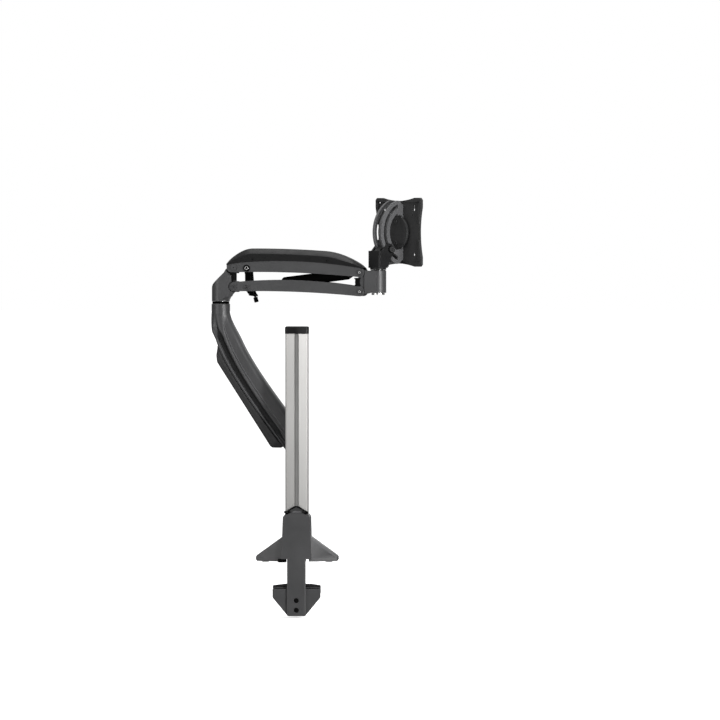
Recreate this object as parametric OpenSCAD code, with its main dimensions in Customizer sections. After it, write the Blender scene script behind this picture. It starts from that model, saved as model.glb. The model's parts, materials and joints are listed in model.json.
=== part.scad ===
// Desk-clamp monitor arm: a slotted post in a clamp foot, a curved lower arm that slides
// on the post, a spring-balanced parallelogram upper arm and a slotted-arc tilt head.
// Frame: origin on the post axis at the desk surface, +X along the desk edge,
// +Y over the desk, +Z up. Millimetres.

/* [Clamp] */
// Thickness of the back plate and its tongue
plate_t = 5; // [4:0.5:7]
// Width of the tongue that passes the desk edge
tongue_w = 31; // [26:1:38]
// Opening between the desk surface and the pressure plate at rest
throat = 38.5; // [30:0.5:44]
// Depth of the jaw tail below the pressure plate
jaw_drop = 50.5; // [44:0.5:60]
// Width of the jaw
jaw_w = 80; // [60:1:90]
// Reach of the jaw under the desk, from the tongue
jaw_reach = 66; // [54:1:84]
// Radius of the clamping spindle
spindle_r = 5; // [4:0.5:6]
// Radius of the spindle's grip
grip_r = 13; // [10:0.5:15]

/* [Foot] */
// Height of the socket block over the desk
block_h = 80; // [60:1:100]
// Width of the socket block at its top
block_w = 45; // [43:0.5:52]
// Half span of the wings
wing_span = 69; // [58:1:85]
// Height of a wing at its root
wing_root = 42; // [30:1:55]
// Height of a wing at its tip
wing_tip = 9; // [7:0.5:14]
// Width of the rim round a wing's recessed web
wing_rim = 4.5; // [3:0.5:6]

/* [Post] */
// Width across the post
post_w = 38; // [34:0.5:42]
// Height of the post's top end over the desk
post_top = 381; // [340:1:460]
// Width of the T-slots
slot_w = 7; // [5:0.5:9]
// Height of the cap
cap_h = 12; // [8:0.5:16]

/* [Carriage] */
// Height of the lower arm's root over the desk
root_z = 209; // [195:1:230]
// Height of the lower arm's root boss
boss_h = 80; // [74:1:90]
// Radius of the root pin
root_pin_r = 6; // [5:0.5:7]
// Thickness of the carriage plate and ears
carriage_t = 8; // [6:0.5:10]

/* [Lower arm] */
// Distance between the root pin and the elbow axis
lower_reach = 133; // [110:0.2:160]
// Height of the elbow collar's top over the root
lower_rise = 221; // [200:1:250]
// Heading of the lower arm
lower_yaw = 171; // [160:1:180]
// Radius of the elbow collar
collar_r = 15.5; // [14:0.25:18]
// Radius of the elbow shaft
shaft_r = 8; // [6:0.5:9]

/* [Upper arm] */
// Distance between the pivots of a link
link_len = 216; // [190:1:250]
// Height between the two links
link_gap = 32; // [30:0.5:38]
// Distance of the left pivots from the elbow axis
link_off = 25.8; // [22:0.2:32]
// Heading of the upper arm
upper_yaw = -10; // [-20:1:0]
// Droop of the links at rest
link_droop = 2.1; // [0:0.1:6]
// Outer width of the links
link_w = 31; // [29:0.5:36]
// Wall of the links
link_t = 3; // [2:0.25:4]
// Radius of the link pins
link_pin_r = 3.5; // [2.5:0.25:4]
// Distance of the tension post's pivots along the links
post_pivot = 22.5; // [20:0.5:26]
// Radius of the gas cylinder
gas_r = 9; // [7:0.25:10]
// Radius of the gas rod
rod_r = 3.25; // [2.5:0.25:5]

/* [Head] */
// Distance of the swivel axis from the right pivots
knuckle_off = 28.4; // [26:0.2:36]
// Radius of the swivel barrel
knuckle_r = 13.5; // [12:0.25:16]
// Heading of the screen plate
head_yaw = 43; // [20:1:60]
// Height of the tilt centre over the upper left pivot
tilt_rise = 59.2; // [50:0.2:70]
// Radius of the tilt slots
tilt_r = 48.5; // [44:0.5:54]
// Distance between the two tilt arcs, centre to centre
arc_gap = 18; // [14:0.5:24]
// Side of the screen plate
vesa_w = 115; // [112:1:125]
// Hole spacing of the outer screen pattern
vesa_pitch = 100; // [100:0.1:100]
// Radius of the screen holes
vesa_hole_r = 2.3; // [2.1:0.1:2.8]

/* [Hidden] */

$fn = 64;
eps = 0.01;
gap = 0.3;            // clearance between bodies that pass each other
run = 0.05;           // radial running fit
charcoal = [0.27, 0.27, 0.275];
black = [0.08, 0.08, 0.085];
alloy = [0.76, 0.76, 0.75];
steel = [0.55, 0.55, 0.56];
arc_grey = [0.44, 0.44, 0.45];

// clamp and foot
back_y = -post_w / 2 - 5;              // desk-side face of the back plate
foot_z = 6;                            // underside of the socket block
foot_base_w = block_w + 4;
foot_front = post_w / 2 + 5;
socket_floor = 14;
wing_recess = 2.5;
socket_gap = 0.15;
press_t = 2.5;                         // steel pressure plate
rubber_t = 2;
jaw_top = -throat - rubber_t - press_t - 0.7;
jaw_t = 8;
jaw_bottom = -throat - jaw_drop;
spindle_y = back_y + jaw_reach * 0.52;
grip_h = 13;
jaw_screw_z = [jaw_bottom + 10, jaw_bottom + 26];

// post
core_r = 4;
slot_lip = 3;
slot_in_w = slot_w + 7.5;
slot_depth = 8.5;
crest = 1.8;                           // how far the slot lips stand proud of the corners
corner_r = 4;

// carriage
boss_r = 17.5;                         // root boss of the lower arm
root_y = post_w / 2 + 0.4 + carriage_t + boss_r + 1;
ear_z = boss_h / 2 + 0.5;
ear_r = 13;                            // narrower than the boss, to pass beside the arm's crown
plate_over = 20;                       // how far the carriage plate passes the ears

// lower arm, along its own heading
elbow_z = root_z + lower_rise;         // top of the collar
arm_p = [[lower_reach, elbow_z - 5.4], [lower_reach, elbow_z - 70],
         [lower_reach * 0.6, root_z + 79], [0, root_z - 27]];
crown_grow = 7.1;                      // extra height of the crown at the root
rail_grow = -4.5;                      // and of the lower rail
collar_h = 25;
bush_t = 2;
ring_t = 3.6;
shaft_down = lower_rise * 0.18;        // length of the elbow shaft in the collar
shaft_up = 22;                         // and in the casting
swing_h = 30;                          // height of the room the ears swing in

// elbow and links, along the upper heading
elbow = [lower_reach * cos(lower_yaw), root_y + lower_reach * sin(lower_yaw)];
casting_z = elbow_z + ring_t + 0.4;
lo_z = casting_z + 24.7;
up_z = lo_z + link_gap;
link_dir = [cos(link_droop), -sin(link_droop)];
pivot_u = [link_off, up_z];
pivot_l = [link_off, lo_z];
pivot_a = pivot_u + post_pivot * link_dir;
pivot_b = pivot_l + post_pivot * link_dir;
pivot_c = pivot_u + link_len * link_dir;
pivot_d = pivot_l + link_len * link_dir;
inner_w = link_w - 2 * link_t;         // clear width inside the links
lug_w = inner_w - 2 * gap;
end_r = 7.8;                           // rounded ends of the links
top_end = end_r;
top_rise = 7.2;
bot_end = end_r;
bot_rise = 3.2;
fork_w = 12;                           // clear width inside forks
eye_w = 8;
eye_r = 5;

// gas spring from the lower pivot of the tension post to the upper right pivot
spring_v = pivot_c - pivot_b;
spring_len = norm(spring_v);
spring_a = atan2(spring_v[1], spring_v[0]);
cyl_end = 15;                          // free length beside the upper right pivot
cyl_len = 118;

// head, along the plate's normal
knuckle_u = pivot_c[0] + knuckle_off;
knuckle = elbow + knuckle_u * [cos(upper_yaw), sin(upper_yaw)];
barrel_z0 = pivot_d[1] - 2;
barrel_z1 = pivot_c[1] + 3;
tilt_x = 54.8;                         // tilt centre ahead of the swivel axis
tilt_z = up_z + tilt_rise;
arc_t = 4;
arc_slot = 6.2;
out_band = 6.2;                        // width of metal outside the slot
in_band = 7;
arc_half = 66;
bolt_a = 36;                           // the bolt's place on the arcs below level
bolt_x = tilt_x - tilt_r * cos(bolt_a);
bolt_z = tilt_z - tilt_r * sin(bolt_a);
bolt_r = 3;
cheek_t = 3.6;
washer_t = 0.8;
cheek_y = arc_gap / 2 + arc_t / 2 + gap;
hub_x = 39;                            // face of the hub disc between the arcs
hub_t = 4;
hub_r = 28;
cradle_t = 3;
wall_half = 47;                        // half height of the cradle wall
wall_x = hub_x + hub_t;                 // cradle wall behind the disc
hub_step = 0.3;                        // raised washer face under the plate
plate_x = wall_x + cradle_t + 0.5;
hub_screw_z = 18;
vesa_t = 2.5;
vesa_inner = 75;                       // spacing of the inner screen pattern
keyhole_w = 3;
keyhole_l = 8;
hub_pin_r = 6;
rivet_head_r = 9;
rivet_head_t = 1.2;

// ---------- frames ----------
module in_lower() translate([0, root_y, 0]) rotate([0, 0, lower_yaw]) children();
module in_upper() translate([elbow[0], elbow[1], 0]) rotate([0, 0, upper_yaw]) children();
module in_head() translate([knuckle[0], knuckle[1], 0]) rotate([0, 0, head_yaw]) children();
module at_pivot(p) translate([p[0], 0, p[1]]) children();
module in_link(p) in_upper() at_pivot(p) rotate([0, link_droop, 0]) children();
module in_spring() in_upper() at_pivot(pivot_c) rotate([0, -spring_a, 0]) children();

// ---------- shared forms ----------
// A profile in X and Z, drawn w wide across Y
module across(w) rotate([90, 0, 0]) linear_extrude(w, center = true) children();
// A bore or pin across Y
module y_rod(r, w) rotate([90, 0, 0]) cylinder(r = r, h = w, center = true);
// A bore or pin along X
module x_rod(r, l) rotate([0, 90, 0]) cylinder(r = r, h = l);
// A shape and its mirror across Y
module both_sides() for (s = [0, 1]) mirror([0, s, 0]) children();
module both_x() for (s = [0, 1]) mirror([s, 0, 0]) children();
// Socket screw: head on Z = 0 growing up, shank down
module socket_screw(r, l, head_r, head_h) difference() {
  union() {
    translate([0, 0, -l]) cylinder(r = r, h = l + eps);
    cylinder(r = head_r, h = head_h);
  }
  translate([0, 0, head_h * 0.4]) cylinder(r = r * 0.75, h = head_h, $fn = 6);
}
// Solid through a list of rings with equally many points
module loft(rings) {
  n = len(rings[0]);
  m = len(rings);
  polyhedron(points = [for (r = rings) each r],
    faces = concat([[for (i = [0:n - 1]) i]],
      [for (k = [0:m - 2]) for (i = [0:n - 1])
        [k * n + i, (k + 1) * n + i, (k + 1) * n + (i + 1) % n, k * n + (i + 1) % n]],
      [[for (i = [n - 1:-1:0]) (m - 1) * n + i]]));
}
function mix(a, b, t) = a + (b - a) * t;
function ease(a, b, t) = let (s = max(0, min(1, (t - a) / (b - a)))) s * s * (3 - 2 * s);
function bez(p, t) = pow(1 - t, 3) * p[0] + 3 * t * pow(1 - t, 2) * p[1]
  + 3 * t * t * (1 - t) * p[2] + pow(t, 3) * p[3];
function bez_dir(p, t) = let (d = pow(1 - t, 2) * (p[1] - p[0]) + 2 * t * (1 - t) * (p[2] - p[1])
  + t * t * (p[3] - p[2])) d / norm(d);

// ---------- clamp ----------
module clamp_back_plate() color(charcoal) difference() {
  translate([0, back_y - plate_t / 2, 0]) across(plate_t) {
    w0 = foot_base_w / 2 + 1;
    w1 = block_w / 2;
    polygon([[-w0, foot_z], [-w1, block_h - 4], [-w1 * 0.5, block_h + 2], [0, block_h + 3],
      [w1 * 0.5, block_h + 2], [w1, block_h - 4], [w0, foot_z], [tongue_w / 2, foot_z],
      [tongue_w / 2, jaw_bottom + 4], [tongue_w / 2 - 3, jaw_bottom], [3 - tongue_w / 2, jaw_bottom],
      [-tongue_w / 2, jaw_bottom + 4], [-tongue_w / 2, foot_z]]);
  }
  for (z = jaw_screw_z) translate([0, back_y - plate_t / 2, z]) {
    y_rod(2.6, plate_t + 1);
    translate([0, -plate_t / 2, 0]) y_rod(4.3, 6);
  }
}
wing_shoulder = foot_base_w / 2 + 3;    // where a wing's slope starts
module wing_outline() polygon([[foot_base_w / 2 - 4, 1.5], [foot_base_w / 2 - 4, wing_root + 3],
  [wing_shoulder, wing_root - 2], [wing_span - 1.5, wing_tip + 2], [wing_span, wing_tip - 0.5],
  [wing_span, 4], [wing_span - 2, 1.5]]);
module wing_recess_outline() {
  low = foot_z + 1.2;
  top = wing_root - 2 - 1.25 * wing_rim;
  slope = (wing_root - wing_tip - 4) / (wing_span - 1.5 - wing_shoulder);
  tip = wing_shoulder + (top - low - 2) / slope;
  polygon([[wing_shoulder - 2.4, low], [wing_shoulder - 2.4, top + 3], [wing_shoulder, top],
    [tip, low + 2], [tip, low]]);
}
// Swept plan of a wing, narrower at its tip
module wing_plan(inset) linear_extrude(wing_root + 8) polygon([[12, back_y + 3 + inset],
  [foot_base_w / 2, back_y + 4 + inset], [wing_span - 3, inset - 2], [wing_span + 1, 3 + inset],
  [wing_span + 1, 18 - inset], [wing_span - 4, foot_front - 2 - inset],
  [foot_base_w / 2, foot_front - 1 - inset], [12, foot_front - 1 - inset]]);
module wing() difference() {
  intersection() {
    translate([0, (back_y + foot_front) / 2, 0]) across(foot_front - back_y) wing_outline();
    wing_plan(0);
  }
  // shallow recess on both faces, inside the rim
  difference() {
    translate([0, (back_y + foot_front) / 2, 0]) across(foot_front - back_y + 4) wing_recess_outline();
    wing_plan(wing_recess);
  }
}
module base_foot() color(charcoal) difference() {
  union() {
    translate([0, (back_y + foot_front) / 2, 0]) across(foot_front - back_y)
      polygon([[-foot_base_w / 2, foot_z], [-block_w / 2, block_h - 4], [-block_w / 2 + 3, block_h],
        [block_w / 2 - 3, block_h], [block_w / 2, block_h - 4], [foot_base_w / 2, foot_z]]);
    // gabled lip behind the back plate
    translate([0, back_y / 2 - post_w / 4, 0]) across(-back_y - post_w / 2 - 2 * socket_gap)
      polygon([[-post_w / 2, block_h - 1], [-post_w / 2, block_h + 4], [-4, block_h + 14],
        [4, block_h + 14], [post_w / 2, block_h + 4], [post_w / 2, block_h - 1]]);
    wing();
    mirror([1, 0, 0]) wing();
  }
  // socket for the post
  translate([0, 0, socket_floor]) linear_extrude(block_h + 20) post_outline(socket_gap);
  cylinder(r = core_r + 0.3, h = 2 * block_h, center = true);
  translate([0, 0, foot_z - 1]) cylinder(r = 7.5, h = 5.5);
  edge_pad();
}
module foot_pads() color(black) {
  translate([0, 6, 0]) both_x() translate([wing_span - 16, 0, 0]) cylinder(r = 6, h = 1.5);
  both_x() translate([foot_base_w / 2 + 6, 14, 0]) cylinder(r = 6, h = 1.5);
  translate([-14, back_y + 6, 0]) cube([28, foot_front - back_y - 10, foot_z]);
  edge_pad();
}
// Rubber block under one wing, beside the tongue
module edge_pad() translate([-foot_base_w / 2 - 6.5, back_y + 3.2, 0]) cube([13.5, 20, foot_z]);
module lower_jaw() color(charcoal) difference() {
  union() {
    // flange on the tongue
    translate([0, back_y + 2.5, 0]) across(5) polygon([[-jaw_w / 2, jaw_top],
      [jaw_w / 2, jaw_top], [jaw_w / 2, jaw_top - 14], [jaw_w / 2 - 2, jaw_top - 17],
      [tongue_w / 2 - 1, jaw_bottom], [1 - tongue_w / 2, jaw_bottom], [2 - jaw_w / 2, jaw_top - 17],
      [-jaw_w / 2, jaw_top - 14]]);
    // table
    translate([0, 0, jaw_top - jaw_t]) linear_extrude(jaw_t) polygon([[-jaw_w / 2, back_y],
      [jaw_w / 2, back_y], [jaw_w / 2, back_y + 18], [20, back_y + jaw_reach - 6],
      [14, back_y + jaw_reach], [-14, back_y + jaw_reach], [-20, back_y + jaw_reach - 6],
      [-jaw_w / 2, back_y + 18]]);
    // gussets
    both_x() translate([grip_r + 4, 0, 0]) rotate([90, 0, 90]) linear_extrude(4)
      polygon([[back_y, jaw_top - 4], [back_y + jaw_reach - 12, jaw_top - 4],
        [back_y + jaw_reach - 12, jaw_top - jaw_t - 1], [back_y + 4, jaw_bottom + 18],
        [back_y, jaw_bottom + 18]]);
  }
  translate([0, spindle_y, jaw_top]) cylinder(r = spindle_r + run, h = 40, center = true);
  for (z = jaw_screw_z) translate([0, back_y + 2.5, z]) y_rod(2.5, 7);
}
module jaw_screws() color(steel) for (z = jaw_screw_z)
  translate([0, back_y - plate_t + 3, z]) rotate([90, 0, 0]) socket_screw(2.5, 7, 4, 2.6);
module clamp_screw() color(steel) translate([0, spindle_y, 0]) {
  translate([0, 0, jaw_bottom + 2])
    cylinder(r = spindle_r, h = -throat - rubber_t - press_t - jaw_bottom - 2.1);
}
module clamp_grip() color(black) translate([0, spindle_y, jaw_bottom]) difference() {
  union() {
    cylinder(r = grip_r - 2.5, h = grip_h);
    for (a = [0:45:315]) rotate(a) translate([grip_r - 3, 0, 0]) cylinder(r = 3, h = grip_h - 2);
  }
  translate([0, 0, 2]) cylinder(r = spindle_r, h = grip_h);
}
module pressure_plate() color(steel) difference() {
  translate([0, 0, -throat - rubber_t - press_t]) linear_extrude(press_t) press_outline(0);
}
module press_outline(inset) {
  y0 = back_y + 5.5 + inset;
  polygon([[-jaw_w / 2 + inset, y0], [jaw_w / 2 - inset, y0], [jaw_w / 2 - inset, y0 + 14],
    [22 - inset, back_y + jaw_reach - 4 - inset], [inset - 22, back_y + jaw_reach - 4 - inset],
    [-jaw_w / 2 + inset, y0 + 14]]);
}
module pressure_rubber() color(black)
  translate([0, 0, -throat - rubber_t]) linear_extrude(rubber_t) press_outline(0.5);

// ---------- post ----------
module post_outline(grow) {
  h = post_w / 2 + grow;
  polygon([[-h, corner_r + crest - h], [corner_r - h, crest - h], [-slot_w / 2, -h],
    [slot_w / 2, -h], [h - corner_r, crest - h], [h, corner_r + crest - h],
    [h, h - crest - corner_r], [h - corner_r, h - crest], [slot_w / 2, h], [-slot_w / 2, h],
    [corner_r - h, h - crest], [-h, h - crest - corner_r]]);
  for (sx = [-1, 1], sy = [-1, 1])
    translate([sx * (h - corner_r), sy * (h - crest - corner_r)]) circle(r = corner_r, $fn = 32);
}
module slot_outline() {
  h = post_w / 2;
  translate([-slot_w / 2, h - slot_depth]) square([slot_w, slot_depth + 1]);
  translate([-slot_in_w / 2, h - slot_depth]) square([slot_in_w, slot_depth - slot_lip]);
}
module post() color(alloy) translate([0, 0, socket_floor]) linear_extrude(post_top - socket_floor)
  difference() {
    post_outline(0);
    slot_outline();
    rotate(180) slot_outline();
    circle(r = core_r);
    for (s = [-1, 1]) translate([s * (post_w / 2 - 6.5), 0]) square([7.5, post_w - 20], center = true);
  }
module post_cap() color(black) translate([0, 0, post_top]) {
  difference() {
    union() {
      linear_extrude(cap_h - 1.2) post_outline(0.6);
      translate([0, 0, cap_h - 1.2]) linear_extrude(1.2) post_outline(-0.6);
    }
    translate([0, 0, -eps]) cylinder(r = 2, h = 3);
  }
  for (s = [-1, 1]) translate([s * (post_w / 2 - 6.5), 0, -7.9]) linear_extrude(8)
    square([6.5, post_w - 22], center = true);
}
module post_bolt() color(steel) translate([0, 0, foot_z + 4.4]) rotate([180, 0, 0])
  socket_screw(core_r, 34, 6.8, 4.4);
module post_wedges() color(black) for (x = [-20.5, 9])
  translate([x, back_y - 1.6, block_h + 2.6]) cube([6.5, 1.6, 3.6]);

// ---------- carriage ----------
module carriage() color(charcoal) difference() {
  y0 = post_w / 2 + 0.4;
  union() {
    translate([0, 0, root_z - ear_z - plate_over]) linear_extrude(2 * (ear_z + plate_over))
      translate([-boss_r, y0]) square([2 * boss_r, carriage_t]);
    for (s = [-1, 1]) translate([0, 0, root_z + s * (ear_z + carriage_t / 2)])
      linear_extrude(carriage_t, center = true) {
        translate([0, root_y]) circle(r = ear_r);
        translate([-ear_r, y0]) square([2 * ear_r, root_y - y0]);
      }
  }
  translate([0, root_y, root_z]) cylinder(r = root_pin_r, h = 2 * boss_h, center = true);
  for (s = [-1, 1]) translate([0, y0 + carriage_t / 2, root_z + s * (ear_z + plate_over - 5.5)])
    y_rod(2.6, carriage_t + 2);
}
module carriage_nut() color(steel) difference() {
  h = post_w / 2;
  translate([0, 0, root_z]) linear_extrude(2 * (ear_z + plate_over) - 4, center = true) {
    translate([-slot_w / 2 + gap, h - slot_depth + 1.4]) square([slot_w - 2 * gap, slot_depth - 1]);
    translate([-slot_in_w / 2 + 0.5, h - slot_depth + 1.4])
      square([slot_in_w - 1, slot_depth - slot_lip - 1.7]);
  }
  for (s = [-1, 1]) translate([0, h, root_z + s * (ear_z + plate_over - 5.5)]) y_rod(2.5, 20);
}
module carriage_screws() color(steel) for (s = [-1, 1])
  translate([0, post_w / 2 + 0.4 + carriage_t, root_z + s * (ear_z + plate_over - 5.5)])
    rotate([-90, 0, 0]) socket_screw(2.5, 12, 4.4, 3);
module root_pin() color(steel) translate([0, root_y, root_z]) {
  cylinder(r = root_pin_r, h = 2 * (ear_z + carriage_t) + 4, center = true);
  translate([0, 0, ear_z + carriage_t]) cylinder(r = root_pin_r + 3, h = 3);
  translate([0, 0, -ear_z - carriage_t - 3]) cylinder(r = root_pin_r + 3, h = 3);
}
module root_bushes() color(black) for (s = [-1, 1]) translate([0, root_y, root_z + s * (boss_h / 2 - 7)])
  difference() {
    cylinder(r = root_pin_r + bush_t, h = 14, center = true);
    cylinder(r = root_pin_r + run, h = 15, center = true);
  }

// ---------- lower arm ----------
// Section of the arm: a rounded crown, a ridge, a side groove and a lower rail.
// Each point is [half width, offset towards the crown].
arm_side = [[6, 20], [10.5, 19], [13.6, 16.4], [15, 12.5], [15.6, 4], [15.8, 0.6], [15, -1.6],
  [11.6, -3.6], [11.6, -11.6], [14, -13.4], [14.2, -16], [12.6, -17.5]];
arm_n = len(arm_side);
crown_off = arm_side[0][1];
rail_off = -arm_side[arm_n - 1][1];
function arm_sec(i) = i < arm_n ? arm_side[i]
  : [-arm_side[2 * arm_n - 1 - i][0], arm_side[2 * arm_n - 1 - i][1]];
function arm_round(i) = let (a = 90 - (i + 0.5) * 180 / arm_n) (collar_r - 0.6) * [cos(a), sin(a)];
function arm_ring(t) = let (
    c = bez(arm_p, t), d = bez_dir(arm_p, t), nrm = [d[1], -d[0]],
    s = ease(0.02, 0.34, t), belly = 4.5 * ease(0.02, 0.2, t) * (1 - ease(0.2, 0.3, t)))
  [for (i = [0:2 * arm_n - 1]) let (r = arm_round(i), q = arm_sec(i),
      off = q[1] * (1 + t * (q[1] < 0 ? rail_grow / rail_off : crown_grow / crown_off)),
      x = mix(r[0], q[0], s), v = mix(r[1], off, s) - (q[1] < 0 ? belly : 0) * (1 - s / 2))
    [c[0] + nrm[0] * v, x, c[1] + nrm[1] * v]];
module lower_arm() color(charcoal) in_lower() difference() {
  union() {
    loft([for (k = [0:34]) arm_ring(k / 34)]);
    translate([lower_reach, 0, elbow_z - collar_h]) cylinder(r = collar_r, h = collar_h);
    translate([0, 0, root_z - boss_h / 2]) cylinder(r = boss_r, h = boss_h + 1);
  }
  // the carriage's ears and plate swing round the boss
  translate([0, 0, root_z + boss_h / 2]) cylinder(r = ear_r * sqrt(2) + 0.8, h = swing_h);
  translate([0, 0, root_z - boss_h / 2 - swing_h]) cylinder(r = 3 * boss_r, h = swing_h);
  translate([0, 0, root_z - boss_h]) difference() {
    translate([-3 * boss_r, -2 * boss_r, 0]) cube([3 * boss_r, 4 * boss_r, 2 * boss_h]);
    translate([0, 0, -1]) cylinder(r = boss_r, h = 2 * boss_h + 2);
  }
  translate([lower_reach, 0, elbow_z - shaft_down - 2])
    cylinder(r = shaft_r + run, h = shaft_down + collar_h);
  translate([0, 0, root_z]) cylinder(r = root_pin_r + bush_t, h = 2 * boss_h, center = true);
}
// The cover clips along the outside of the arm, from cover_a to cover_b
cover_a = 0.29;
cover_b = 0.94;
cover_tip = [lower_reach + 4.8, elbow_z - lower_rise * 0.443];        // the straight back of the cover
cover_back = [-92.6, -142.6];
cover_nose = [3.5, 29];                               // and the steeper top of it
function cross_2(a, b) = a[0] * b[1] - a[1] * b[0];
function cover_ring(t) = let (
    c = bez(arm_p, t), d = bez_dir(arm_p, t), nrm = [d[1], -d[0]],
    e = min(ease(cover_a - 0.02, cover_a + 0.06, t), 1 - ease(cover_b - 0.03, cover_b + 0.01, t)),
    low = rail_off + t * rail_grow + 0.4,
    o = mix(low, min([for (l = [cover_back, -cover_nose]) cross_2(c - cover_tip, l) / cross_2(nrm, l)]),
      mix(0.2, 1, e)),
    w = mix(9.5, 12.4, e))
  [for (q = [[-w, low], [w, low], [w, mix(low, o, 0.6)], [w - 1.6, mix(low, o, 0.88)],
      [w - 4.5, o], [4.5 - w, o], [1.6 - w, mix(low, o, 0.88)], [-w, mix(low, o, 0.6)]])
    [c[0] - nrm[0] * q[1], q[0], c[1] - nrm[1] * q[1]]];
module cable_cover() color(black) in_lower()
  loft([for (k = [0:28]) cover_ring(mix(cover_a, cover_b, k / 28))]);
module elbow_ring() color(black) in_lower() translate([lower_reach, 0, elbow_z + 0.1]) difference() {
  cylinder(r = collar_r - 1.2, h = ring_t);
  translate([0, 0, -1]) cylinder(r = shaft_r + run, h = ring_t + 2);
}
module elbow_shaft() color(steel) in_upper()
  translate([0, 0, elbow_z - shaft_down])
    cylinder(r = shaft_r, h = casting_z - elbow_z + shaft_down + shaft_up);

// ---------- elbow casting ----------
module casting_profile() {
  fillet = [pivot_l[0] - collar_r + 2, 17];
  polygon(concat([[1 - collar_r, casting_z], [0.5 - collar_r, casting_z + 18],
    [1.5 - collar_r, casting_z + 25], [4.5 - collar_r, casting_z + 29.5],
    [pivot_u[0] - 17, pivot_u[1] - 8], [pivot_u[0] - 12, pivot_u[1] + 1],
    [pivot_u[0], pivot_u[1]], [pivot_u[0] + 3.5, pivot_u[1] - 10], [pivot_l[0] + 3.5, pivot_l[1]]],
    [for (a = [90:-15:0]) [collar_r - 1 + fillet[0] * (1 - cos(a)), casting_z + fillet[1] * sin(a)]]));
}
module elbow_casting() color(charcoal) in_upper() difference() {
  union() {
    // full-width body, cut clear of the links' round ends and rounded in plan
    intersection() {
      difference() {
        across(2 * collar_r) casting_profile();
        at_pivot(pivot_u) y_rod(end_r + 6.2, 2 * collar_r + 1);
        at_pivot(pivot_l) y_rod(end_r + 1.4, 2 * collar_r + 1);
        translate([pivot_u[0] + end_r - 4.5, 0, pivot_l[1] + end_r + 8])
          cube([2 * end_r, 2 * collar_r + 1, 2 * link_gap], center = true);
      }
      translate([0, 0, casting_z]) linear_extrude(80) {
        circle(r = collar_r - 0.5);
        translate([0, 0.5 - collar_r]) square([36, 2 * collar_r - 1]);
      }
    }
    // lugs between the links' walls
    across(lug_w) {
      polygon([[pivot_l[0] - 12, pivot_l[1] - 4], [pivot_u[0] - 14, pivot_u[1] - 12],
        [pivot_u[0] - 6, pivot_u[1] + 3], [pivot_u[0] + 5, pivot_u[1] + 3], [pivot_u[0] + 4, pivot_u[1] - 4],
        [pivot_u[0] - 1.5, pivot_u[1] - 10], [pivot_l[0] - 1.5, pivot_l[1] + 10],
        [pivot_l[0] + 4, pivot_l[1] + 5], [pivot_l[0] + 4, pivot_l[1] - 5],
        [pivot_l[0] - 1, pivot_l[1] - 9]]);
      for (p = [pivot_u, pivot_l]) translate(p) circle(r = end_r - 1);
    }
    translate([0, 0, casting_z]) cylinder(r = collar_r - 1, h = 14);
  }
  translate([0, 0, casting_z - 1]) cylinder(r = shaft_r, h = shaft_up + 1);
  for (p = [pivot_u, pivot_l]) at_pivot(p) y_rod(link_pin_r, 2 * collar_r);
}
// Pin through both walls of a link, with a low head on each side
module link_pin(head_r) {
  y_rod(link_pin_r, link_w);
  both_sides() translate([0, link_w / 2 + 0.1, 0]) rotate([-90, 0, 0]) difference() {
    cylinder(r = head_r, h = 1.2);
    translate([0, 0, 0.5]) cylinder(r = 1.6, h = 1, $fn = 6);
  }
}
module elbow_pins() color(steel) in_upper() for (p = [pivot_u, pivot_l]) at_pivot(p) link_pin(4.8);

// ---------- links ----------
function arch(u, rise) = 4 * rise * u * (link_len - u) / (link_len * link_len);
link_steps = 24;
module link_band(u0, u1, low, high) polygon(concat(
  [for (k = [0:link_steps]) let (u = mix(u0, u1, k / link_steps)) [u, high + arch(u, top_rise)]],
  [for (k = [link_steps:-1:0]) let (u = mix(u0, u1, k / link_steps)) [u, low + arch(u, bot_rise)]]));
module link_walls(holes) difference() {
  both_sides() translate([0, link_w / 2 - link_t / 2, 0]) across(link_t) {
    link_band(0, link_len, -bot_end, top_end);
    for (u = [0, link_len]) translate([u, 0]) circle(r = end_r);
  }
  for (u = holes) translate([u, 0, 0]) y_rod(link_pin_r + run, link_w + 1);
}
// Web that ties the two walls, along the crown or along the belly
module link_web(u0, u1, at, rise, t) across(inner_w + 1) polygon(concat(
  [for (k = [0:link_steps]) let (u = mix(u0, u1, k / link_steps)) [u, at + arch(u, rise)]],
  [for (k = [link_steps:-1:0]) let (u = mix(u0, u1, k / link_steps)) [u, at - t + arch(u, rise)]]));
module upper_link() color(charcoal) in_link(pivot_u) {
  link_walls([0, post_pivot, link_len]);
  link_web(post_pivot + 24, link_len - 42, top_end, top_rise, 2.5);
}
module lower_link() color(charcoal) in_link(pivot_l) {
  link_walls([0, post_pivot, link_len]);
  link_web(link_len * 0.47, link_len - 26, 2 - bot_end, bot_rise, 2);
}
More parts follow.
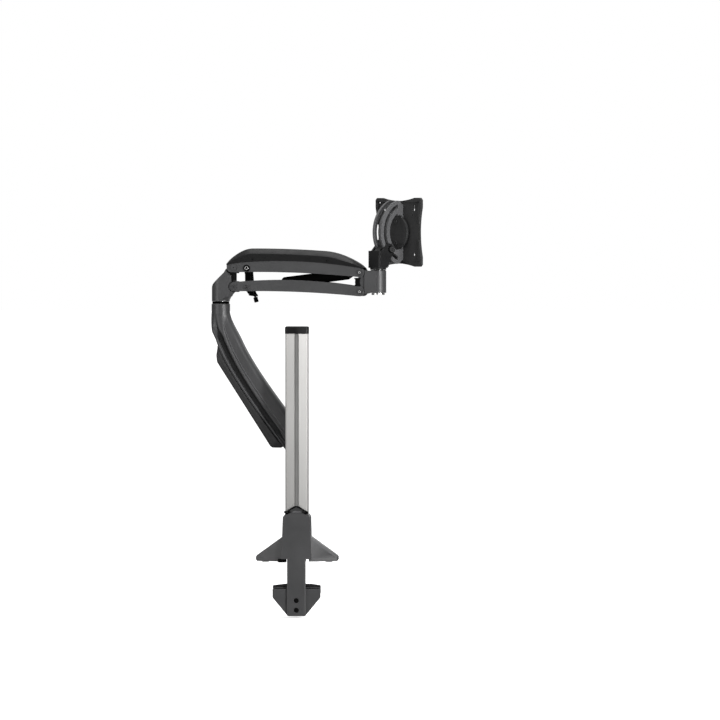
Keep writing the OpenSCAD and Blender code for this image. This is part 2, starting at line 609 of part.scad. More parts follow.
// Domed cover, a shell that stands on the upper link
cover_steps = 26;
cover_u0 = -12.5;
cover_u1 = link_len + 5;
cover_rise = 26.3;                     // from the ends of the cover to its crown
cover_base = 8.6;
function cover_h(u) = let (
    rise = sin(90 * max(0, min(1, (u - cover_u0) / 40))),
    fall = sin(90 * max(0, min(1, (cover_u1 - u) / 54))))
  cover_base + (cover_rise - 0.0004 * pow(u - 95, 2)) * rise * fall;
function cover_low(u) = top_end + 0.3
  + (u < 0 ? u * 0.3 : u > link_len ? (link_len - u) * 0.3 : arch(u, top_rise));
function dome_ring(u, inset) = let (
    lo = cover_low(u) - (inset > 0 ? 1 : 0), hi = max(cover_h(u) - inset, lo + 0.6),
    w = link_w / 2 + 0.6 - inset, b = min(7, (hi - lo) * 0.7))
  [for (q = [[w, lo], [w, mix(lo, hi, 0.3)], [w - 0.3, hi - b], [w - 2.4, hi - b * 0.42], [w - 6.6, hi - 0.5],
      [w - 10, hi], [10 - w, hi], [6.6 - w, hi - 0.5], [2.4 - w, hi - b * 0.42], [0.3 - w, hi - b],
      [-w, mix(lo, hi, 0.3)], [-w, lo]]) [u, q[0], q[1]]];
module dome(inset) loft([for (k = [0:cover_steps])
  dome_ring(mix(cover_u0 + inset * 1.2, cover_u1 - inset * 1.4, k / cover_steps), inset)]);
module link_cover() color(black) in_link(pivot_u) difference() {
  dome(0);
  dome(2.5);
  // room for the spring's eye
  translate([link_len, 0, 0]) y_rod(eye_r + 5, fork_w + 2);
}
module cover_screws() color(steel) in_link(pivot_u) for (u = [32, 160], s = [-1, 1])
  translate([u, s * (link_w / 2 + 0.65), top_end + arch(u, top_rise) + 4]) rotate([-90 * s, 0, 0])
    cylinder(r = 1.3, h = 0.7);

// ---------- tension post ----------
module tension_post() color(black) in_upper() difference() {
  union() {
    both_sides() translate([0, (fork_w + lug_w) / 4, 0]) across((lug_w - fork_w) / 2) {
      polygon([[pivot_a[0] - 4, pivot_a[1] + 3], [pivot_a[0] + 4, pivot_a[1] + 3],
        [pivot_b[0] + 7, pivot_b[1] - 2], [pivot_b[0] + 11.5, pivot_b[1] - 12.5],
        [pivot_b[0] + 3, pivot_b[1] - 12.5], [pivot_b[0] - 3.5, pivot_b[1] - 4]]);
      for (p = [pivot_a, pivot_b]) translate(p) circle(r = 5.6);
    }
    // bridges between the two bars, above and below the spring's eye
    across(lug_w) {
      polygon([[pivot_a[0] - 5, pivot_a[1] + 2], [pivot_a[0] + 5, pivot_a[1] + 2],
        [pivot_a[0] + 5, pivot_a[1] - 9], [pivot_a[0] - 4.5, pivot_a[1] - 9]]);
      polygon([[pivot_b[0] + 2.5, pivot_b[1] - 10.8], [pivot_b[0] + 12, pivot_b[1] - 12],
        [pivot_b[0] + 13.4, pivot_b[1] - 15.5], [pivot_b[0] + 3, pivot_b[1] - 14]]);
    }
  }
  for (p = [pivot_a, pivot_b]) at_pivot(p) y_rod(link_pin_r, link_w);
  knob_frame() translate([0, 0, -3]) cylinder(r = 1.8, h = 4.4);
}
knob_p = [pivot_b[0] + 10.5, pivot_b[1] - 14.6];
module knob_frame() at_pivot(knob_p) rotate([0, -16, 0]) children();
module tension_pins() color(steel) in_upper() {
  at_pivot(pivot_a) link_pin(5.6);
  at_pivot(pivot_b) link_pin(4);
}
module tension_knob() color(black) in_upper() knob_frame() {
  translate([0, 0, -2.6]) cylinder(r = 1.7, h = 3.6);
  difference() {
    translate([0, 0, -11]) cylinder(r = 3.3, h = 8.6);
    for (a = [0:60:300]) rotate(a) translate([3.7, 0, -11.5]) cylinder(r = 0.8, h = 8);
  }
}

// ---------- gas spring, drawn from the upper right pivot back to the tension post ----------
module spring_cylinder() color(black) in_spring() difference() {
  union() {
    y_rod(eye_r, eye_w);
    translate([-cyl_end, 0, 0]) x_rod(rod_r, cyl_end);
    translate([-cyl_end - 8, 0, 0]) rotate([0, 90, 0]) cylinder(r1 = gas_r, r2 = rod_r + 1.5, h = 8);
    translate([-cyl_end - cyl_len, 0, 0]) x_rod(gas_r, cyl_len - 8);
    translate([-cyl_end - cyl_len - 3, 0, 0]) rotate([0, 90, 0]) cylinder(r1 = gas_r - 2, r2 = gas_r, h = 3);
  }
  y_rod(link_pin_r + run, eye_w + 1);
  translate([-cyl_end - cyl_len - 4, 0, 0]) x_rod(rod_r + run, 40);
}
module spring_rod() color(steel) in_spring() difference() {
  union() {
    translate([-spring_len, 0, 0]) y_rod(eye_r, eye_w);
    translate([-spring_len + 3, 0, 0]) x_rod(rod_r, spring_len - cyl_end - cyl_len + 10);
  }
  translate([-spring_len, 0, 0]) y_rod(link_pin_r + run, eye_w + 1);
}

// ---------- front clevis ----------
module front_clevis() color(charcoal) in_upper() difference() {
  union() {
    // two cheeks between the links' walls
    both_sides() translate([0, (fork_w + lug_w) / 4, 0]) across((lug_w - fork_w) / 2) {
      polygon([[pivot_c[0], pivot_c[1] + end_r - 2], [pivot_c[0] + 10, pivot_c[1] + 1.5],
        [pivot_d[0] + 14, pivot_d[1]], [pivot_d[0], pivot_d[1] - end_r + 1],
        [pivot_d[0] - 3, pivot_d[1]], [pivot_d[0] - 3, pivot_d[1] + 9], [pivot_c[0] - 3, pivot_c[1] - 9],
        [pivot_c[0] - 3, pivot_c[1]]]);
      for (p = [pivot_c, pivot_d]) translate(p) circle(r = end_r - 2);
    }
    // block and swivel barrel
    difference() {
      across(link_w - 1) polygon([[pivot_c[0] + end_r, barrel_z1], [knuckle_u, barrel_z1],
        [knuckle_u, barrel_z0], [knuckle_u - knuckle_r, barrel_z0], [pivot_d[0] + end_r, barrel_z0 - 1.5]]);
      for (p = [pivot_c, pivot_d]) at_pivot(p) y_rod(end_r + 1, link_w);
    }
    translate([knuckle_u, 0, barrel_z0]) cylinder(r = knuckle_r, h = barrel_z1 - barrel_z0);
  }
  translate([knuckle_u, 0, barrel_z0 - 2]) cylinder(r = shaft_r + 1.5, h = 80);
  for (p = [pivot_c, pivot_d]) at_pivot(p) y_rod(link_pin_r, link_w + 1);
  // room for the spring's eye
  at_pivot(pivot_c) y_rod(end_r + 2.2, fork_w);
}
// Shoulder pins at the top leave the fork open for the spring's eye
module clevis_pins() color(steel) in_upper() {
  at_pivot(pivot_d) link_pin(4.8);
  at_pivot(pivot_c) difference() {
    link_pin(4.8);
    cube([20, fork_w, 20], center = true);
  }
}
module swivel_bush() color(black) in_upper() translate([knuckle_u, 0, 0]) difference() {
  union() {
    translate([0, 0, barrel_z0]) cylinder(r = shaft_r + 1.5, h = barrel_z1 - barrel_z0);
    translate([0, 0, barrel_z1]) cylinder(r = knuckle_r - 1, h = 1.4);
  }
  translate([0, 0, barrel_z0 - 1]) cylinder(r = shaft_r + run, h = 80);
}

// ---------- head ----------
module yoke_profile() {
  polygon([[-9, barrel_z1 + 6], [-8.5, barrel_z1 + 8], [-4.5, bolt_z - 4], [1.5, bolt_z + 2], [8, bolt_z + 9],
    [bolt_x + 1, bolt_z + 9.5], [bolt_x + 9.5, bolt_z - 1], [bolt_x + 3, bolt_z - 10], [12, barrel_z1 + 14],
    [10, barrel_z1 + 6]]);
}
module head_post() color(black) in_head() difference() {
  union() {
    translate([0, 0, barrel_z1 + 1.7]) cylinder(r = knuckle_r, h = 3);
    intersection() {
      translate([0, 0, barrel_z1 + 4.6]) linear_extrude(bolt_z + 3 - barrel_z1 - 10)
        polygon([[-8.5, -15], [8, -15], [10, -12], [10, 12], [8, 15], [-8.5, 15], [-10.5, 12], [-10.5, -12]]);
      across(40) polygon([[-13, barrel_z1], [-9, bolt_z], [14, bolt_z], [12, barrel_z1]]);
    }
    both_sides() translate([0, cheek_y + cheek_t / 2, 0]) across(cheek_t) yoke_profile();
    across(arc_gap - arc_t - 2 * gap) yoke_profile();
  }
  // the arcs run between the cheeks
  both_sides() translate([tilt_x, arc_gap / 2, tilt_z])
    y_rod(tilt_r + arc_slot / 2 + out_band + 1.2, arc_t + 2 * gap);
  translate([bolt_x, 0, bolt_z]) y_rod(bolt_r + run, 60);
  translate([0, 0, barrel_z0]) cylinder(r = shaft_r, h = barrel_z1 - barrel_z0 + 12);
}
module swivel_pin() color(steel) in_head() {
  translate([0, 0, barrel_z0 - 2.2]) cylinder(r = shaft_r, h = barrel_z1 - barrel_z0 + 12);
  translate([0, 0, barrel_z0 - 3.4]) cylinder(r = shaft_r + 3, h = 3);
}
module tilt_bolt() color(steel) in_head() translate([bolt_x, 0, bolt_z]) {
  y_rod(bolt_r, 2 * (cheek_y + cheek_t) + 4);
  translate([0, -cheek_y - cheek_t - washer_t, 0]) rotate([90, 0, 0]) difference() {
    cylinder(r = 4.8, h = 3);
    translate([0, 0, 1.2]) cylinder(r = 2.5, h = 3, $fn = 6);
  }
  translate([0, cheek_y + cheek_t + washer_t, 0]) rotate([-90, 0, 0]) cylinder(r = 4.6, h = 3.4, $fn = 6);
}
module tilt_washers() color(steel) in_head() translate([bolt_x, 0, bolt_z]) both_sides()
  translate([0, cheek_y + cheek_t, 0]) rotate([-90, 0, 0]) difference() {
    cylinder(r = 6, h = washer_t);
    translate([0, 0, -1]) cylinder(r = bolt_r + run, h = 3);
  }
// Arc-shaped band about level, w wide on radius r, with round ends
function arc_pts(r, a0, a1, n) = [for (k = [0:n]) let (a = mix(a0, a1, k / n)) r * [cos(a), sin(a)]];
function end_pts(r, w, a, turn) = [for (k = [1:7]) let (b = a + turn + k * 22.5)
  r * [cos(a), sin(a)] + w / 2 * [cos(b), sin(b)]];
module arc_band(r, w, half, n = 26) polygon(concat(arc_pts(r + w / 2, 180 - half, 180 + half, n),
  end_pts(r, w, 180 + half, 0), arc_pts(r - w / 2, 180 + half, 180 - half, n),
  end_pts(r, w, 180 - half, 180)));
module cradle_profile() difference() {
  w = arc_slot + out_band + in_band;
  r = tilt_r + (out_band - in_band) / 2;
  union() {
    arc_band(r, w, arc_half - 2);
    // feet that run forward to the back wall
    for (s = [-1, 1]) mirror([0, s > 0 ? 0 : 1]) polygon([[wall_x + 1 - tilt_x, hub_r + 0.4],
      [wall_x + 1 - tilt_x, wall_half], [-tilt_r * cos(arc_half) - 6, 50],
      [-tilt_r * cos(arc_half) - 8, 34], [-tilt_r * cos(arc_half), hub_r + 0.4]]);
  }
  arc_band(tilt_r, arc_slot, arc_half - 4);
}
module tilt_cradle() color(arc_grey) in_head() translate([tilt_x, 0, tilt_z]) difference() {
  union() {
    both_sides() translate([0, arc_gap / 2, 0]) across(arc_t) cradle_profile();
    translate([wall_x - tilt_x + cradle_t / 2, 0, 0])
      cube([cradle_t, arc_gap + arc_t, 2 * wall_half], center = true);
    translate([wall_x + cradle_t - tilt_x - 1, 0, 0]) x_rod(hub_pin_r + 3, 1 + hub_step);
  }
  translate([wall_x - tilt_x - 1, 0, 0]) x_rod(hub_pin_r, cradle_t + 2);
  for (z = [-hub_screw_z, hub_screw_z]) translate([wall_x - tilt_x - 1, 0, z]) x_rod(2, cradle_t);
}
module hub_disc() color(black) in_head() translate([hub_x, 0, tilt_z]) difference() {
  x_rod(hub_r, hub_t);
  for (z = [-hub_screw_z, hub_screw_z]) translate([-1, 0, z]) x_rod(2, hub_t + 2);
}
module hub_screws() color(steel) in_head() for (z = [-hub_screw_z, hub_screw_z])
  translate([hub_x, 0, tilt_z + z]) rotate([0, -90, 0]) socket_screw(2, hub_t + cradle_t - 1.2, 3.6, 1.6);
// Flat-headed rivet on which the plate turns, flush with the screen side
module hub_rivet() color(steel) in_head() translate([hub_x, 0, tilt_z]) {
  translate([hub_t, 0, 0]) x_rod(hub_pin_r, plate_x - wall_x + vesa_t - rivet_head_t + eps);
  translate([plate_x - hub_x + vesa_t - rivet_head_t, 0, 0]) x_rod(rivet_head_r, rivet_head_t);
}
module vesa_outline() difference() {
  square(vesa_w, center = true);
  // waisted sides
  for (a = [0:90:270]) rotate(a) translate([vesa_w / 2 + 168, 0]) circle(r = 173, $fn = 160);
  for (a = [0:90:270]) rotate(a) translate([vesa_w / 2, vesa_w / 2]) rotate(45) square(5, center = true);
}
module vesa_plate() color(charcoal) in_head() translate([plate_x, 0, tilt_z]) difference() {
  union() {
    rotate([0, 90, 0]) linear_extrude(vesa_t) vesa_outline();
    // turned edges
    rotate([0, 90, 0]) translate([0, 0, -2.4]) linear_extrude(2.4 + eps) difference() {
      vesa_outline();
      square(vesa_w - 14, center = true);
      circle(r = vesa_w / 2 - 3);
    }
  }
  for (p = [vesa_pitch, vesa_inner], y = [-1, 1], z = [-1, 1])
    translate([-5, y * p / 2, z * p / 2]) x_rod(vesa_hole_r, 20);
  // keyhole slots over the upper inner holes, and two small holes beside them
  for (y = [-1, 1]) {
    translate([-5, (y * vesa_inner - keyhole_w) / 2, vesa_inner / 2]) cube([20, keyhole_w, keyhole_l]);
    translate([-5, y * (vesa_inner / 2 - 3.5), vesa_inner / 2 - 9.5]) x_rod(1.3, 20);
  }
  translate([-5, 0, 0]) x_rod(hub_pin_r + run, 20);
  translate([vesa_t - rivet_head_t - 0.1, 0, 0]) x_rod(rivet_head_r + gap, 5);
}

clamp_back_plate();
base_foot();
foot_pads();
lower_jaw();
jaw_screws();
clamp_screw();
clamp_grip();
pressure_plate();
pressure_rubber();
post();
post_cap();
post_bolt();
post_wedges();
carriage();
carriage_nut();
carriage_screws();
root_pin();
root_bushes();
lower_arm();
cable_cover();
elbow_ring();
elbow_shaft();
elbow_casting();
elbow_pins();
upper_link();
link_cover();
cover_screws();
lower_link();
tension_post();
tension_pins();
tension_knob();
spring_cylinder();
spring_rod();
front_clevis();
clevis_pins();
swivel_bush();
head_post();
swivel_pin();
tilt_bolt();
tilt_washers();
tilt_cradle();
hub_disc();
hub_screws();
hub_rivet();
vesa_plate();
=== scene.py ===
"""Looks of a desk-clamp monitor arm: finishes, rounded edges and fine pieces around its fixed frame."""

import json
import logging
import math
from dataclasses import dataclass, field
from enum import Enum

import bmesh
import bpy
from mathutils import Matrix, Vector

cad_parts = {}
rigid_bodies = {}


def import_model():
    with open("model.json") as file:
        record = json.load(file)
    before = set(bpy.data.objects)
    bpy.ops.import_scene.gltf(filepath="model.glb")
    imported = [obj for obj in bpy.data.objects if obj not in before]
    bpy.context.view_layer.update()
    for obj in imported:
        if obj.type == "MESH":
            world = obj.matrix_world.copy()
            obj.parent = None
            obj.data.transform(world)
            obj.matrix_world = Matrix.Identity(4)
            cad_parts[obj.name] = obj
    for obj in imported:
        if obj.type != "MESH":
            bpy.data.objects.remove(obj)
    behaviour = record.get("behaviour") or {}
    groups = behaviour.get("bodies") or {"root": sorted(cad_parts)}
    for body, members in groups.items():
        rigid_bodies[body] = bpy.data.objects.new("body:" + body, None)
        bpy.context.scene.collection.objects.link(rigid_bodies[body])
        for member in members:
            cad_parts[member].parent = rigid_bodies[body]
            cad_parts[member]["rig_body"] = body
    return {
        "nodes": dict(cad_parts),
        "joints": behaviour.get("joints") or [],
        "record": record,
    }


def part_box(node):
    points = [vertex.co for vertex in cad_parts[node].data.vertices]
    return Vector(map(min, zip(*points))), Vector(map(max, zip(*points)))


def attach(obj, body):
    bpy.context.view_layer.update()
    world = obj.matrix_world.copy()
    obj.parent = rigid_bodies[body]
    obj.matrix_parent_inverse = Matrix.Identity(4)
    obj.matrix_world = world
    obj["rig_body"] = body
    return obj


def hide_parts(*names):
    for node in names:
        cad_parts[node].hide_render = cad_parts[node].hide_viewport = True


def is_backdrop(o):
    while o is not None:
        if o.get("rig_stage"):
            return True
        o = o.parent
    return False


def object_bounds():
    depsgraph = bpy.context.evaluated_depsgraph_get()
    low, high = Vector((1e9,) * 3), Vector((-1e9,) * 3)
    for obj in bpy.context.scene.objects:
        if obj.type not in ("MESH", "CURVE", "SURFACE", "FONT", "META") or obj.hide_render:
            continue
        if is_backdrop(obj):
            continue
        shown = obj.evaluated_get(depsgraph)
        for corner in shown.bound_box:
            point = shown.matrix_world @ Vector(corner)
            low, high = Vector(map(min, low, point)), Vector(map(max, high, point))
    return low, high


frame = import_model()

LOG = logging.getLogger("monitor_arm")
MM = 0.001
UP = Vector((0.0, 0.0, 1.0))
Y = Vector((0.0, 1.0, 0.0))
WHITE = (1, 1, 1, 1)
NOISE_LOW, NOISE_HIGH = 0.3, 0.7  # most values of a noise lie between these
STEPS = 4  # pieces between two corners of a smoothed section
Triple = tuple[float, float, float]
Profile = list[tuple[float, float]]
Piece = bpy.types.Object
Look = bpy.types.Material
Node = bpy.types.Node


class Slot(Enum):
    """Material slots of the record."""

    CHARCOAL = "cast_charcoal"
    HEAD = "head_black"
    ARC = "arc_grey"
    ALLOY = "post_alloy"
    PLASTIC = "black_plastic"
    RUBBER = "rubber_black"
    BLACK_STEEL = "black_steel"
    BRIGHT_STEEL = "bright_steel"


# ---------- node trees ----------
class Graph:
    """A node tree, with short ways to add, fill and link its nodes."""

    def __init__(self, tree: bpy.types.NodeTree) -> None:
        """Takes up a tree."""
        self.tree = tree

    def add(self, kind: str, settings: dict[str, object] | None = None, **inputs: object) -> Node:
        """Adds a node.

        Args:
            kind: The node's type name.
            settings: Properties to set on it, if any.
            **inputs: What each input gets, as feed takes it; a low line stands for a space.

        Returns:
            The new node.
        """
        node = self.tree.nodes.new(kind)
        for key, value in (settings or {}).items():
            setattr(node, key, value)
        return self.fill(node, **inputs)

    def fill(self, node: Node, **inputs: object) -> Node:
        """Fills inputs of a node.

        Args:
            node: The node.
            **inputs: What each input gets, as feed takes it; a low line stands for a space.

        Returns:
            The same node.
        """
        for key, value in inputs.items():
            self.feed(node.inputs[key.replace("_", " ")], value)
        return node

    def feed(self, socket: bpy.types.NodeSocket, value: object) -> None:
        """Gives an input a plain value, or links it.

        Args:
            socket: The input.
            value: A plain value, an output, or a node whose first output is meant.
        """
        if isinstance(value, bpy.types.Node):
            value = value.outputs[0]
        if isinstance(value, bpy.types.NodeSocket):
            self.tree.links.new(value, socket)
        else:
            socket.default_value = value


# ---------- finishes ----------
class Nodes(Graph):
    """The shader nodes of one material."""

    def __init__(self, name: str) -> None:
        """Starts a material with one Principled shader.

        Args:
            name: The material's name.
        """
        self.material = bpy.data.materials.new(name)
        self.material.use_nodes = True
        super().__init__(self.material.node_tree)
        self.shader = self.tree.nodes["Principled BSDF"]
        self.place = self.add("ShaderNodeTexCoord").outputs["Object"]

    def noise(self, scale: float, detail: float = 2.0, stretch: Triple = (1, 1, 1)) -> Node:
        """Noise in object coordinates.

        Args:
            scale: Cells per metre.
            detail: Octaves of finer noise.
            stretch: Scale of the pattern along each axis.

        Returns:
            The node, which gives a factor from 0 to 1.
        """
        source = self.place
        if stretch != (1, 1, 1):
            source = self.add("ShaderNodeMapping", Scale=stretch, Vector=source)
        return self.add("ShaderNodeTexNoise", Scale=scale, Detail=detail, Vector=source)

    def tint(self, fac: Node, colour: Triple, low: float, high: float) -> Node:
        """Varies the brightness of a colour with a noise.

        Args:
            fac: The noise.
            colour: The colour.
            low: Its brightness where the noise is low.
            high: Its brightness where the noise is high.

        Returns:
            The node, which gives the colour.
        """
        node = self.add("ShaderNodeValToRGB", Fac=fac)
        stops = node.color_ramp.elements
        for stop, position, share in zip(stops, (NOISE_LOW, NOISE_HIGH), (low, high)):
            stop.position = position
            stop.color = (*(channel * share for channel in colour), 1)
        return node

    def spread(self, fac: Node, low: float, high: float) -> Node:
        """Maps a noise onto a range of numbers."""
        return self.add("ShaderNodeMapRange", Value=fac, From_Min=NOISE_LOW, From_Max=NOISE_HIGH,
                        To_Min=low, To_Max=high)

    def shade_downwards(self, colour: Node, low: float, high: float, share: float) -> Node:
        """A colour that darkens downwards between two heights: painted shade.

        Args:
            colour: The colour.
            low: Height of the darkest part in metres.
            high: Height above which the colour is whole.
            share: Share of the colour that is left at the low end.

        Returns:
            The node, which gives the graded colour.
        """
        height = self.add("ShaderNodeSeparateXYZ", Vector=self.place).outputs["Z"]
        grade = self.add("ShaderNodeMapRange", From_Min=low, From_Max=high, To_Min=share, Value=height)
        return self.add("ShaderNodeVectorMath", {"operation": "SCALE"}, Vector=colour, Scale=grade)

    def relief(self, height: Node, depth: float, edge: float) -> None:
        """Gives the shader a bumped normal over softened edges.

        Args:
            height: The bump's height, from 0 to 1.
            depth: Height of the bumps in metres.
            edge: Radius over which edges are softened, in metres.
        """
        soft = self.add("ShaderNodeBevel", {"samples": 4}, Radius=edge)
        self.fill(self.shader, Normal=self.add("ShaderNodeBump", Distance=depth, Height=height, Normal=soft))


@dataclass(frozen=True)
class Coat:
    """Powder coat or moulded plastic: one colour under a fine orange-peel skin."""

    name: str
    colour: Triple
    roughness: float
    specular: float = 0.5
    grain: float = 0.55 * MM
    depth: float = 0.03 * MM
    edge: float = 0.35 * MM
    clouds: float = 22.0
    mottle: float = 0.10
    patches: float = 65.0
    patchy: float = 0.05

    def material(self) -> Look:
        """Builds the finish.

        Returns:
            The material.
        """
        nodes = Nodes(self.name)
        tint = nodes.tint(nodes.noise(self.clouds, 4), self.colour, 1 - self.mottle, 1 + self.mottle)
        dull, shiny = self.roughness + self.patchy, self.roughness - self.patchy
        nodes.fill(nodes.shader, Base_Color=tint, Specular_IOR_Level=self.specular,
                   Roughness=nodes.spread(nodes.noise(self.patches, 3), shiny, dull))
        nodes.relief(nodes.noise(1 / self.grain), self.depth, self.edge)
        return nodes.material


@dataclass(frozen=True)
class DrawnAlloy:
    """Clear anodised extrusion with fine lines along its length, and painted shade that greys it towards its
    foot.
    """

    name: str
    colour: Triple
    roughness: float = 0.36
    lines: float = 2600.0
    # The fade is painted shade at the post's foot.
    fade: Triple = (0.08, 0.40, 0.62)  # heights of the fade in metres, and the share left at its foot
    metallic: float = 0.4
    anisotropy: float = 0.35

    def material(self) -> Look:
        """Builds the finish.

        Returns:
            The material.
        """
        nodes = Nodes(self.name)
        streaks = nodes.noise(self.lines, 3, (1, 1, 0.004))
        cloud = nodes.tint(nodes.noise(14, 3, (1, 1, 0.3)), self.colour, 0.95, 1.04)
        nodes.fill(nodes.shader, Base_Color=nodes.shade_downwards(cloud, *self.fade), Metallic=self.metallic,
                   Roughness=nodes.spread(streaks, self.roughness - 0.07, self.roughness + 0.09),
                   Anisotropic=self.anisotropy)
        nodes.relief(streaks, 0.006 * MM, 0.4 * MM)
        return nodes.material


@dataclass(frozen=True)
class Steel:
    """Turned or pressed steel with a thin oxide or zinc layer."""

    name: str
    colour: Triple
    roughness: float
    grain: float = 0.2 * MM
    edge: float = 0.2 * MM

    def material(self) -> Look:
        """Builds the finish.

        Returns:
            The material.
        """
        nodes = Nodes(self.name)
        cloud = nodes.noise(180, 4)
        nodes.fill(nodes.shader, Base_Color=nodes.tint(cloud, self.colour, 0.85, 1.1), Metallic=1.0,
                   Roughness=nodes.spread(cloud, self.roughness - 0.06, self.roughness + 0.08))
        nodes.relief(nodes.noise(1 / self.grain), 0.008 * MM, self.edge)
        return nodes.material


COARSE = (0.8 * MM, 0.045 * MM)  # grain and depth of a moulded skin
FINISHES = {
    Slot.CHARCOAL: Coat("charcoal_coat", (0.0484, 0.0484, 0.0498), 0.40, 0.42),
    Slot.HEAD: Coat("head_coat", (0.0100, 0.0100, 0.0104), 0.40, 0.25),
    Slot.ARC: Coat("arc_coat", (0.096, 0.096, 0.099), 0.42, 0.4),
    Slot.ALLOY: DrawnAlloy("anodised_post", (0.53, 0.522, 0.51), 0.56),
    Slot.PLASTIC: Coat("moulded_black", (0.003, 0.003, 0.0032), 0.42, 0.255, *COARSE),
    Slot.RUBBER: Coat("soft_rubber", (0.003, 0.003, 0.003), 0.8, 0.08, 0.5 * MM, 0.05 * MM),
    Slot.BLACK_STEEL: Steel("black_oxide", (0.010, 0.010, 0.0105), 0.40),
    Slot.BRIGHT_STEEL: Steel("zinc_steel", (0.55, 0.55, 0.545), 0.3),
}


class Palette:
    """One material for each slot, made once, and three variants for single pieces."""

    def __init__(self) -> None:
        """Builds every finish."""
        self.made = {slot: finish.material() for slot, finish in FINISHES.items()}
        self.satin = Coat("satin_black", (0.030, 0.030, 0.0305), 0.5, 0.3, *COARSE).material()
        self.matt = Coat("matt_black", (0.0012, 0.0012, 0.0012), 0.7, 0.015, *COARSE).material()
        # The grey strip variant is painted shade, a darker grey for the shaded floor of the post's slot.
        self.strip = Coat("painted_slot_shade", (0.155, 0.154, 0.15), 0.55, 0.3).material()

    def __getitem__(self, slot: Slot) -> Look:
        """The material of a slot."""
        return self.made[slot]


# ---------- frame ----------
def joint(name: str) -> dict:
    """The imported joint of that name."""
    return next(j for j in frame["joints"] if j["name"] == name)


def at(name: str) -> Vector:
    """The place of a joint, in metres."""
    return Vector(joint(name)["pos_m"])


def slot_of(node: str) -> Slot:
    """The record's slot of a CAD node."""
    return Slot(next(r["material_slot"] for r in frame["record"]["subparts"] if r["node"] == node))


def turned(origin: Vector, heading: float) -> Matrix:
    """A frame on a vertical axis, in millimetres, with its X along the heading in degrees."""
    base = Vector((origin.x, origin.y, 0.0))
    return Matrix.Translation(base) @ Matrix.Rotation(math.radians(heading), 4, "Z") @ Matrix.Scale(MM, 4)


WORLD = Matrix.Scale(MM, 4)
LOWER = turned(at("root_swivel"), 171)
UPPER = turned(at("elbow_swivel"), -10)
ROOT_Z = at("root_swivel").z / MM
ELBOW_Z = at("elbow_swivel").z / MM


def pivot(name: str) -> Vector:
    """The place of a joint, in millimetres of the upper arm's frame."""
    return UPPER.inverted() @ at(name)


# ---------- numbers and outlines ----------
def mix(low: float, high: float, share: float) -> float:
    """A number between two others."""
    return low + (high - low) * share


def shares(count: int) -> list[float]:
    """Evenly spaced shares from 0 to 1, with the given number of steps."""
    return [k / count for k in range(count + 1)]


def ease(start: float, end: float, value: float) -> float:
    """A soft step from 0 at the start to 1 at the end."""
    share = max(0.0, min(1.0, (value - start) / (end - start)))
    return share * share * (3 - 2 * share)


def mirrored(outline: Profile, side: int) -> Profile:
    """An outline on its own side, or on the other one for a side of -1."""
    return [(side * a, b) for a, b in outline]


def both(half: Profile) -> Profile:
    """The line that runs up one side and back down its mirror image."""
    return half + mirrored(half[::-1], -1)


def shifted(outline: Profile, place_at: Vector) -> Profile:
    """An outline moved to the X and Z of a place."""
    return [(place_at.x + a, place_at.z + b) for a, b in outline]


def round_line(radius: float, steps: int) -> Profile:
    """A circle's corners."""
    turns = [2 * math.pi * k / steps for k in range(steps)]
    return [(radius * math.cos(turn), radius * math.sin(turn)) for turn in turns]


def flowing(points: Profile) -> Profile:
    """A closed smooth line through the points.

    Args:
        points: The corners, in order round the line.

    Returns:
        The finer line.
    """
    count, line = len(points), []
    for i in range(count):
        a, b, c, d = (Vector(points[(i + k) % count]) for k in (-1, 0, 1, 2))
        for t in (k / STEPS for k in range(STEPS)):
            p = 0.5 * (2 * b + (c - a) * t + (2 * a - 5 * b + 4 * c - d) * t * t
                       + (3 * b - a - 3 * c + d) * t ** 3)
            line.append((p.x, p.y))
    return line


# ---------- meshes ----------
def linked(name: str, data: bpy.types.ID) -> Piece:
    """Adds an object to the scene.

    Args:
        name: The object's name.
        data: Its mesh, lamp or camera.

    Returns:
        The object, at the origin.
    """
    obj = bpy.data.objects.new(name, data)
    bpy.context.scene.collection.objects.link(obj)
    return obj


def shade(obj: Piece, angle: float) -> None:
    """Shades a mesh smooth, apart from its sharp edges.

    Args:
        obj: The mesh.
        angle: Angle in degrees above which an edge stays sharp.
    """
    for face in obj.data.polygons:
        face.use_smooth = True
    obj.data.set_sharp_from_angle(angle=math.radians(angle))


def settle(obj: Piece) -> Piece:
    """Turns a mesh with live modifiers into a plain one.

    Args:
        obj: The object, at the origin.

    Returns:
        The same object, with its modifiers applied.
    """
    graph = bpy.context.evaluated_depsgraph_get()
    mesh = bpy.data.meshes.new_from_object(obj.evaluated_get(graph))
    obj.modifiers.clear()
    obj.data = mesh
    return obj


def opened(mesh: bpy.types.Mesh, weld: float = 1e-6, flat: float = 0.0) -> bmesh.types.BMesh:
    """A mesh opened for work.

    Args:
        mesh: The mesh.
        weld: Distance in metres under which corners are merged.
        flat: Angle in degrees under which neighbouring faces become one, or 0 to leave them.

    Returns:
        The working mesh.
    """
    work = bmesh.new()
    work.from_mesh(mesh)
    bmesh.ops.remove_doubles(work, verts=work.verts, dist=weld)
    if flat:
        bmesh.ops.dissolve_limit(work, angle_limit=math.radians(flat), verts=work.verts, edges=work.edges,
                                 use_dissolve_boundaries=False)
    return work


def closed(work: bmesh.types.BMesh, mesh: bpy.types.Mesh) -> None:
    """Writes a working mesh back and frees it."""
    work.to_mesh(mesh)
    work.free()


def merged_copy(node: str) -> Piece:
    """Copies a CAD node and welds the copy.

    Args:
        node: The node.

    Returns:
        The copy.
    """
    mesh = frame["nodes"][node].data.copy()
    closed(opened(mesh), mesh)
    mesh.materials.clear()
    return linked("edged_" + node, mesh)


